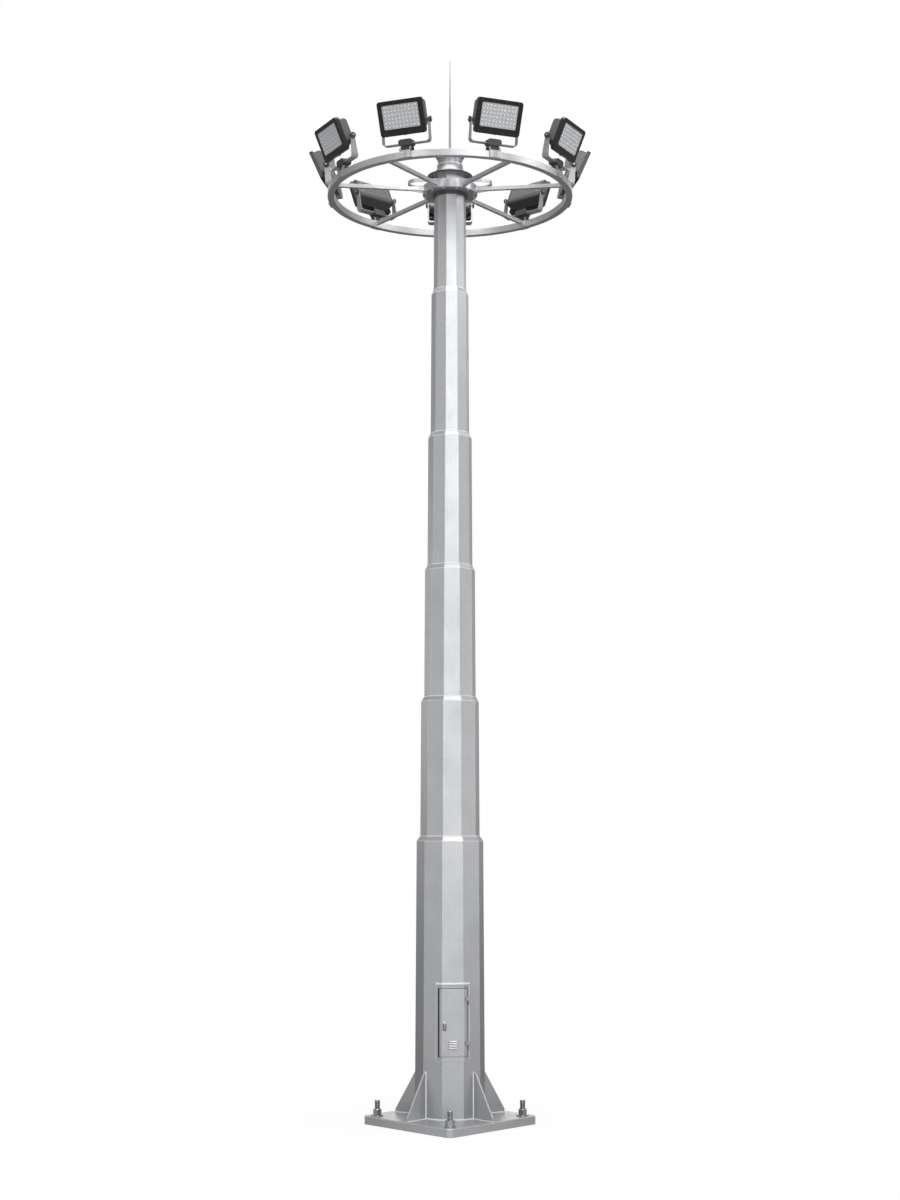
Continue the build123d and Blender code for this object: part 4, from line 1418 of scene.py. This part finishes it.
# ---------------------------------------------------------------- head
@dataclass
class Head:
    """The bell, the neck and the lightning rod."""

    # The bell's rim and its edging.
    rim_radius: float = 0.277
    seal_rise: float = 0.008
    seal_drop: float = 0.003
    seal_proud: float = 0.003
    seal_inset: float = 0.01
    seal_round: float = 0.002
    # Bolts through the neck's flange and the rod's foot.
    flange: float = 0.02
    flange_bolts: int = 8
    flange_bolt: Size = (0.019, 0.012)
    flange_circle: float = 0.168
    rod_foot: float = 0.012
    rod_bolts: int = 4
    rod_bolt: Size = (0.009, 0.006)
    rod_circle: float = 0.0385
    # Beads: radius, height above the node under them, width.
    foot_weld: Triple = (0.158, 0.001, 0.01)
    neck_weld: Triple = (0.15, 0.015, 0.007)
    rod_weld: Triple = (0.0275, 0.013, 0.006)
    round_sides: int = 72
    rod_sides: int = 28

    def build(self) -> None:
        """Dresses the head and adds its bolts, welds and rim seal."""
        dress(["head_skirt"], BELL_PAINTED_SHADE)
        dress(["skirt_seat"], GALVANISED, edge=0.001)
        dress(["head_neck"], BELL_PAINTED_SHADE, edge=0.0015)
        dress(["rod_base"], GALVANISED, edge=0.001)
        dress(["lightning_rod"], ROD)
        self._rim_seal()
        self._bolts()
        self._welds()

    def _rim_seal(self) -> None:
        """A rubber edging on the bell's rim."""
        rim, ease = levels("head_skirt")[0], self.seal_round
        high, low = rim + self.seal_rise, rim - self.seal_drop
        outer, inner = self.rim_radius + self.seal_proud, self.rim_radius - self.seal_inset
        crest = self.rim_radius - 2 * ease
        form = Form()
        form.lathe([(outer, low + ease), (outer, high), (crest, high + ease / 2), (inner, high),
                    (inner, low + ease), (inner + ease, low), (outer - ease, low)],
                   self.round_sides, loop=True)
        form.piece("bell_rim_seal", RUBBER, Slot.DARK_STEEL)

    def _bolts(self) -> None:
        """Bolts through the flange between the ribs and round the rod's foot."""
        top = levels("head_neck")[1]
        bolt, small = hexagon_bolt(*self.flange_bolt), hexagon_bolt(*self.rod_bolt)
        form = Form()
        for i in range(self.flange_bolts):
            place = spot(360.0 / self.flange_bolts * i, self.flange_circle, top)
            form.stamp(bolt, [Matrix.Translation(place), hanging(place - UP * self.flange)])
        for i in range(self.rod_bolts):
            place = spot(360.0 / self.rod_bolts * (i + 0.5), self.rod_circle, top + self.rod_foot)
            form.stamp(small, [Matrix.Translation(place)])
        form.piece("head_bolts", ZINC_BOLT)

    def _welds(self) -> None:
        """A bead at the neck's foot and at the rod's socket."""
        foot, top = levels("head_skirt")[1], levels("head_neck")[1]
        form = Form()
        for (radius, lift, width), level, sides in (
            (self.foot_weld, foot, self.round_sides),
            (self.neck_weld, foot, self.round_sides),
            (self.rod_weld, top, self.rod_sides),
        ):
            ring = [Vector((*p, level + lift)) for p in polygon(sides, radius)]
            form.bead(ring, width, closed=True)
        form.piece("head_welds", WELD)


# ---------------------------------------------------------------- lamps and their mounts
@dataclass
class Lamp:
    """One floodlight, drawn upright with its pivot at the origin and its face towards -Y."""

    number: int
    # Housing, with the planes where its coat turns from black to grey; the black under the lower
    # plane is painted shade.
    low: float = -0.138
    high: float = 0.262
    front: float = -0.138
    grey_from: float = -0.091
    painted_shade_level: float = -0.035
    # Window and lenses: a seat is turned from what it adds to the lens's radius, and heights.
    window_low: float = -0.059
    window_high: float = 0.213
    window_half: float = 0.2225
    panel_face: float = -0.135
    columns: int = 10
    rows: int = 6
    lens_margin: Point = (0.026, 0.027)
    lens_radius: float = 0.0125
    lens_rise: float = 0.36
    lens_lift: float = 0.0004
    lens_arc: tuple[float, ...] = (0.0, 18.0, 36.0, 54.0, 72.0, 86.0)
    lens_sides: int = 18
    lens_seat: tuple[Point, ...] = (
        (0.003, -0.0004), (0.003, 0.0007), (0.0018, 0.0012), (-0.001, 0.0012),
    )
    # Bezel: how much smaller than the window each outline is, and its corner's radius.
    bezel_outer: Point = (0.001, 0.0135)
    bezel_inner: Point = (0.015, 0.0065)
    bezel_heights: tuple[float, ...] = (-0.0004, 0.0046, 0.0026, -0.0004)
    # Screws in the front frame: a row over and under the window, and two on each side.
    frame_screw: Size = (0.0062, 0.003)
    frame_screws: int = 4
    screw_across: float = 0.225
    screw_margin: Point = (0.03, 0.022)
    side_screws: tuple[float, ...] = (-0.01, 0.135)
    side_across: float = 0.256
    # Cover and fins on the back.
    cover_face: float = 0.01
    cover_level: float = 0.098
    cover_size: Point = (0.44, 0.178)
    cover_corner: float = 0.018
    cover_edge: float = 0.003
    cover_heights: Triple = (-0.002, 0.0035, 0.0055)
    cover_screw: Size = (0.005, 0.0024)
    cover_screws: Point = (0.208, 0.076)
    cover_seat: float = 0.0054
    fins: int = 15
    fin_across: float = 0.182
    fin_half: Point = (0.0014, 0.07)
    fin_rise: Point = (0.005, 0.0125)
    fin_edge: float = 0.0006
    # Cable gland: a hexagon nut with a plug turned from radii and heights.
    gland_at: Point = (-0.083, -0.128)
    gland_nut: float = 0.0135
    gland_nut_ends: Point = (-0.002, 0.008)
    gland_nut_edge: float = 0.0012
    gland: tuple[Point, ...] = (
        (0.0105, 0.0075), (0.0105, 0.0125), (0.0085, 0.0155), (0.006, 0.016), (0.006, 0.011),
    )

    def __post_init__(self) -> None:
        """Finds the lamp's frame at rest from its joint and its front panel."""
        tilt = joint(f"lamp_tilt_{self.number}")
        pivot, across = Vector(tilt["pos_m"]), Vector(tilt["axis"]).normalized()
        self.body = f"lamp_{self.number}"
        panel = frame["nodes"][f"{self.body}_panel"].data
        widest = max(panel.polygons, key=lambda p: p.area)
        face = widest.normal.copy()
        if face.dot(widest.center - pivot) < 0:
            face.negate()
        self.back = -face
        self.up = across.cross(self.back)
        if self.up.z < 0:
            across, self.up = -across, -self.up
        self.place = frame_at(pivot, across, self.back, self.up)

    def at(self, x: float, y: float, z: float) -> Vector:
        """A point of the lamp's own frame, in the mast's frame."""
        return self.place @ Vector((x, y, z))

    def forward(self, x: float, y: float, z: float) -> Matrix:
        """A frame at a point whose Z looks out of the lamp's face."""
        return self.place @ facing(Vector((x, y, z)), Vector((0, -1, 0)), ACROSS)

    def build(self) -> None:
        """Dresses the housing and adds lenses, bezel, screws and the back's fittings."""
        # The coat stays black under its lower plane, as painted shade.
        coat = LampCoat(
            f"{self.body}_coat", LAMP_BLACK.coat, LAMP_BLACK.dust,
            dustiness=0.2, roughness=0.26, peel=0.0003,
            forward=tuple(-self.back), edge=-self.back.dot(self.at(0.0, self.grey_from, 0.0)),
            upward=tuple(self.up), painted_shade_level=self.up.dot(self.at(0.0, 0.0, self.painted_shade_level)),
        )
        dress([f"{self.body}_housing"], coat, edge=0.003, segments=3)
        dress([f"{self.body}_panel"], LENS_BOARD, edge=0.001)
        self._lenses()
        self._bezel()
        self._front_screws()
        self._cover()
        self._gland()

    def _piece(self, form: Form, name: str, finish: Finish, slot: Slot = Slot.LAMP,
               smooth: float = 35.0) -> None:
        """Ends a form as a piece of this lamp."""
        form.piece(f"{self.body}_{name}", finish, slot, self.body, smooth)

    def _lenses(self) -> None:
        """Rows of domes on the panel, each in a low round seat."""
        dome, seat, domes, seats = Form(), Form(), Form(), Form()
        r = self.lens_radius
        arc = [radians(a) for a in self.lens_arc]
        dome.lathe([(r * cos(a), r * self.lens_rise * sin(a) + self.lens_lift) for a in arc],
                   self.lens_sides)
        seat.lathe([(r + grown, height) for grown, height in self.lens_seat], self.lens_sides)
        side, end = self.lens_margin
        places = [self.forward(x, self.panel_face, z)
                  for x in spread(side - self.window_half, self.window_half - side, self.columns)
                  for z in spread(self.window_low + end, self.window_high - end, self.rows)]
        domes.stamp(dome, places)
        seats.stamp(seat, places)
        self._piece(domes, "lenses", LENS_DOME, Slot.GLASS, 60.0)
        self._piece(seats, "lens_seats", SEAT_GREY, Slot.GLASS)

    def _bezel(self) -> None:
        """A pale strip that clamps the panel, just inside the window's edge."""
        width, height = 2 * self.window_half, self.window_high - self.window_low
        outer, inner = (rounded(width - less, height - less, corner, steps=5)
                        for less, corner in (self.bezel_outer, self.bezel_inner))
        place = self.forward(0.0, self.panel_face, (self.window_low + self.window_high) / 2)
        form = Form()
        form.skin(layers(place, zip((outer, outer, inner, inner), self.bezel_heights)), loop=True)
        self._piece(form, "bezel", BEZEL_GREY)

    def _front_screws(self) -> None:
        """Screws round the front frame."""
        foot, head = self.screw_margin
        row = spread(-self.screw_across, self.screw_across, self.frame_screws)
        places = [(x, z) for z in (self.low + foot, self.high - head) for x in row]
        places += [(x, z) for x in (-self.side_across, self.side_across) for z in self.side_screws]
        form = Form()
        form.stamp(socket_screw(*self.frame_screw),
                   [self.forward(x, self.front, z) for x, z in places])
        self._piece(form, "screws", DARK_BOLT)

    def _cover(self) -> None:
        """A raised cover on the back, with cooling fins and corner screws."""
        middle = Vector((0.0, self.cover_face, self.cover_level))
        place = self.place @ facing(middle, Vector((0, 1, 0)), -ACROSS)
        (width, height), corner, edge = self.cover_size, self.cover_corner, self.cover_edge
        outline = rounded(width, height, corner, steps=4)
        top = rounded(width - 2 * edge, height - 2 * edge, corner - edge, steps=4)
        cover, fins, screws = Form(), Form(), Form()
        cover.skin(layers(place, zip((outline, outline, top), self.cover_heights)))
        self._piece(cover, "cover", LAMP_GREY, smooth=30.0)
        thick, long = self.fin_half
        for x in spread(-self.fin_across, self.fin_across, self.fins):
            fins.box((x - thick, x + thick), (-long, long), self.fin_rise, self.fin_edge, place)
        self._piece(fins, "fins", LAMP_GREY)
        across, over = self.cover_screws
        screws.stamp(socket_screw(*self.cover_screw), [
            place @ Matrix.Translation((x, y, self.cover_seat))
            for x in (-across, across) for y in (-over, over)])
        self._piece(screws, "cover_screws", ZINC_BOLT, Slot.BRIGHT)

    def _gland(self) -> None:
        """A cable gland under the housing, closed with a plug."""
        form = Form()
        down = self.place @ facing(Vector((0.0, *self.gland_at)), -UP, ACROSS)
        form.prism(polygon(6, self.gland_nut), *self.gland_nut_ends, self.gland_nut_edge, down)
        form.lathe(self.gland, 20, down)
        self._piece(form, "cable_gland", KNOB)


@dataclass
class Mounts:
    """The brackets, knuckles, yokes and knobs of the lamps, which stay with the mast."""

    lamps: Sequence[Lamp]
    ring_outer: float = RING_OUTER
    plate: float = 0.012
    # Bolts on each bracket.
    bracket_bolt: Size = (0.017, 0.01)
    bracket_across: float = 0.043
    bracket_levels: tuple[float, ...] = (0.018, 0.058)
    # Yoke, with the screws of its clamp and the heads of the cross bolt.
    lean: float = 8.0
    clamp_screw: Size = (0.0075, 0.004)
    clamp_half: Point = (0.062, 0.056)
    clamp_levels: tuple[float, ...] = (-0.23, -0.27)
    cross_bolt: Size = (0.026, 0.005)
    cross_bolt_at: Triple = (0.085, -0.012, -0.32)
    # Knobs: a cap is turned from radii and heights.
    knob_face: float = 0.3155
    knob_cap: tuple[Point, ...] = ((0.021, -0.001), (0.021, 0.0016), (0.0195, 0.0028))
    knob_bolt: Size = (0.017, 0.004)
    knob_bolt_seat: float = 0.0026

    def build(self) -> None:
        """Dresses the mounts and adds their bolts and caps."""
        dress(["lamp_brackets"], YOKE_PAINTED_SHADE, edge=0.002)
        dress(["lamp_yokes"], YOKE_PAINTED_SHADE, edge=0.0015)
        dress(["lamp_knuckles"], CASTING, edge=0.004, segments=3)
        dress(["pivot_knobs"], KNOB, edge=0.002)
        brackets, knuckles, caps, bolts = Form(), Form(), Form(), Form()
        for lamp in self.lamps:
            pivot = lamp.at(0.0, 0.0, 0.0)
            out = Vector((pivot.x, pivot.y, 0.0)).normalized()
            side = Vector((-out.y, out.x, 0.0))
            self._bracket(brackets, out, side)
            yoke = self._yoke_frame(pivot, out, side)
            self._knuckle(knuckles, yoke)
            self._caps(caps, bolts, yoke)
        brackets.piece("bracket_bolts", ZINC_BOLT)
        knuckles.piece("knuckle_bolts", DARK_BOLT, Slot.CASTING)
        caps.piece("knob_caps", KNOB, Slot.CASTING)
        bolts.piece("knob_bolts", ZINC_BOLT)

    def _yoke_frame(self, pivot: Vector, out: Vector, side: Vector) -> Matrix:
        """The yoke's own frame: X across, -Y out, leaning out from the ring.

        Args:
            pivot: The lamp's pivot.
            out: The level direction away from the shaft.
            side: The level direction round it.

        Returns:
            The frame as a matrix.
        """
        lean = radians(self.lean)
        back = UP * sin(lean) - out * cos(lean)
        return frame_at(pivot, side, back, UP * cos(lean) + out * sin(lean))

    def _bracket(self, form: Form, out: Vector, side: Vector) -> None:
        """Adds four bolts on the bracket's front plate.

        Args:
            form: The form that they go into.
            out: The level direction away from the shaft.
            side: The level direction round it.
        """
        foot, face = levels("ring_segment_1")[0], self.ring_outer + self.plate
        form.stamp(hexagon_bolt(*self.bracket_bolt), [
            facing(out * face + side * x + UP * (foot + level), out, side)
            for x in (-self.bracket_across, self.bracket_across) for level in self.bracket_levels])

    def _knuckle(self, form: Form, yoke: Matrix) -> None:
        """Adds a screw at each corner of the clamp, front and back, and its cross bolt's heads.

        Args:
            form: The form that they go into.
            yoke: The yoke's frame.
        """
        across, deep = self.clamp_half
        form.stamp(socket_screw(*self.clamp_screw), [
            yoke @ facing(Vector((x, look * deep, z)), Vector((0, look, 0)), ACROSS * -look)
            for x in (-across, across) for z in self.clamp_levels for look in (-1, 1)])
        form.stamp(hexagon_bolt(*self.cross_bolt, washer=False),
                   [yoke @ self._end(hand, *self.cross_bolt_at) for hand in (-1, 1)])

    def _caps(self, caps: Form, bolts: Form, yoke: Matrix) -> None:
        """Adds a flat cap on each knob with a bolt in its middle.

        Args:
            caps: The form that the caps go into.
            bolts: The form that their bolts go into.
            yoke: The yoke's frame.
        """
        for hand in (-1, 1):
            place = yoke @ self._end(hand, self.knob_face, 0.0, 0.0)
            caps.lathe(self.knob_cap, 32, place)
            bolts.stamp(hexagon_bolt(*self.knob_bolt, washer=False),
                        [place @ Matrix.Translation(UP * self.knob_bolt_seat)])

    @staticmethod
    def _end(hand: int, x: float, y: float, z: float) -> Matrix:
        """A frame at one hand's end of the yoke's X, looking away from its middle."""
        return facing(Vector((hand * x, y, z)), ACROSS * hand, Vector((0, hand, 0)))


# ---------------------------------------------------------------- studio
@dataclass(frozen=True)
class Panel:
    """A rectangular light that looks at a point."""

    name: str
    at: Triple
    look: Triple
    size: Point
    power: float

    def build(self) -> None:
        """Makes the light."""
        data = bpy.data.lights.new(self.name, "AREA")
        data.shape = "RECTANGLE"
        data.size, data.size_y = self.size
        data.energy = self.power
        light = bpy.data.objects.new(self.name, data)
        light.location = self.at
        aim = Vector(self.look) - Vector(self.at)
        light.rotation_euler = aim.to_track_quat("-Z", "Y").to_euler()
        bpy.context.scene.collection.objects.link(light)


@dataclass
class Studio:
    """A plain pale floor, a soft white room and the camera."""

    # Camera.
    distance: float = 22.0
    eye: float = 3.425
    pitch: float = 7.0
    focal: float = 55.35
    sensor: float = 36.0
    reach: float = 200.0
    # Room, floor and lights.
    ambient: float = 0.46
    floor_half: float = 60.0
    floor_level: float = -0.0005
    lights: tuple[Panel, ...] = (
        Panel("key", (4.5, -15.0, 13.5), (0.0, 0.0, 7.0), (6.0, 9.0), 790.0),
        Panel("front_fill", (1.0, -23.0, 4.0), (0.0, 0.0, 3.0), (9.0, 12.0), 1150.0),
        Panel("left_strip", (-11.0, -4.5, 7.0), (0.0, 0.0, 6.0), (3.5, 14.0), 160.0),
        Panel("right_strip", (11.0, -2.0, 8.0), (0.0, 0.0, 7.0), (3.5, 14.0), 150.0),
        Panel("right_crown", (8.5, -2.0, 15.5), (0.0, 0.0, 11.0), (4.0, 4.0), 230.0),
        Panel("left_low", (-8.0, -4.0, 2.0), (0.0, 0.0, 0.8), (3.0, 3.5), 6.0),
        Panel("right_low", (8.0, -2.5, 2.0), (0.0, 0.0, 0.8), (3.0, 3.5), 16.0),
        Panel("left_wing", (-6.0, -10.0, 15.6), (-1.2, 0.0, 11.5), (2.5, 3.0), 200.0),
        Panel("right_wing", (6.0, -10.0, 15.6), (1.2, 0.0, 11.5), (2.5, 3.0), 200.0),
        Panel("left_high", (-10.0, 3.5, 6.0), (0.0, 0.0, 1.0), (4.0, 5.0), 160.0),
        Panel("right_high", (10.0, 3.5, 6.0), (0.0, 0.0, 1.0), (4.0, 5.0), 160.0),
        Panel("top", (0.0, -2.0, 20.0), (0.0, 0.0, 0.0), (9.0, 9.0), 2000.0),
        Panel("back_rim", (0.0, 13.0, 15.0), (0.0, 0.0, 10.0), (15.0, 7.0), 480.0),
        Panel("back_low", (0.0, 9.0, 1.7), (0.0, 0.0, 0.3), (5.0, 2.0), 55.0),
    )

    def build(self) -> None:
        """Makes the room, the floor, the lights and the camera."""
        self._room()
        self._floor()
        for light in self.lights:
            light.build()
        self._camera()

    def _room(self) -> None:
        """White to the camera, and a softer grey to everything that it lights."""
        world = bpy.data.worlds.new("room")
        world.use_nodes = True
        graph = Graph(world.node_tree)
        camera = graph.add("ShaderNodeLightPath", output="Is Camera Ray")
        height = graph.add("ShaderNodeTexCoord", output="Generated").part("Z")
        stops = [(0.0, 0.3), (0.45, 0.7), (0.52, 1.0), (0.7, 0.8), (1.0, 0.5)]
        level = graph.ramp(height * 0.5 + 0.5, stops)
        room = graph.blend(BLACK, WHITE, level * self.ambient)
        back = graph.add("ShaderNodeBackground", {}, {
            "Color": graph.blend(room, WHITE, camera), "Strength": 1.0,
        })
        graph.add("ShaderNodeOutputWorld", {}, {0: back})
        bpy.context.scene.world = world

    def _floor(self) -> None:
        """A pale floor that fades into the white room."""
        mesh = bmesh.new()
        bmesh.ops.create_grid(mesh, x_segments=2, y_segments=2, size=self.floor_half)
        data = bpy.data.meshes.new("floor")
        mesh.to_mesh(data)
        mesh.free()
        material = bpy.data.materials.new("floor")
        material.use_nodes = True
        self._paint(Graph(material.node_tree))
        data.materials.append(material)
        floor = bpy.data.objects.new("floor", data)
        floor.location = UP * self.floor_level
        bpy.context.scene.collection.objects.link(floor)

    @staticmethod
    def _paint(graph: Graph) -> None:
        """Writes the floor's paint, which turns to plain white away from the mast; what other
        surfaces see of it is painted shade, darker in a ring round the mast and behind it.

        Args:
            graph: The floor's graph.
        """
        place = graph.place()
        away = graph.add("ShaderNodeVectorMath", {"operation": "LENGTH"}, {0: place}, "Value")
        far = graph.ramp(away / 10.0, [(0.1, 0.0), (0.28, 1.0)])
        # Painted shade: for all but the camera, the floor is darker behind the mast and in a ring
        # round it.
        ahead = graph.ramp(place.part("Y") / 8.0 + 0.5, [(0.3, 1.0), (0.7, 0.2)])
        shade = graph.ramp(away / 30.0, [(0.035, 0.72), (0.09, 0.3), (0.2, 0.5), (0.4, 0.85)])
        camera = graph.add("ShaderNodeLightPath", output="Is Camera Ray")
        tone = graph.blend(BLACK, WHITE, (shade * ahead).at_least(camera * 0.8))
        paint = graph.add("ShaderNodeBsdfPrincipled", {}, {
            "Base Color": tone, "Roughness": 1.0, "Specular IOR Level": 0.0,
        })
        glow = graph.add("ShaderNodeEmission", {}, {"Color": (*WHITE, 1.0), "Strength": 1.0})
        share = camera * (0.78 + 0.22 * far)
        mixed = graph.add("ShaderNodeMixShader", {}, {0: share, 1: paint, 2: glow})
        graph.add("ShaderNodeOutputMaterial", {}, {0: mixed})

    def _camera(self) -> None:
        """A level studio camera that looks up a little."""
        data = bpy.data.cameras.new("camera")
        data.lens = self.focal
        data.sensor_width = data.sensor_height = self.sensor
        data.clip_end = self.reach
        camera = bpy.data.objects.new("camera", data)
        camera.location = (0.0, -self.distance, self.eye)
        camera.rotation_euler = (radians(90.0 + self.pitch), 0.0, 0.0)
        scene = bpy.context.scene
        scene.collection.objects.link(camera)
        scene.camera = camera
        scene.view_settings.view_transform = "Standard"


def main() -> None:
    """Builds every sub-assembly in order, then the studio."""
    logging.basicConfig(level=logging.INFO, format="%(name)s: %(message)s")
    mast = Mast()
    lamps = [Lamp(i + 1) for i in range(LAMPS)]
    parts = (Base(mast), Shaft(mast), Door(mast), Hub(mast), Head(), *lamps, Mounts(lamps))
    for assembly in (*parts, Studio()):
        log.info("building %s", type(assembly).__name__)
        assembly.build()


if __name__ == "__main__":
    main()
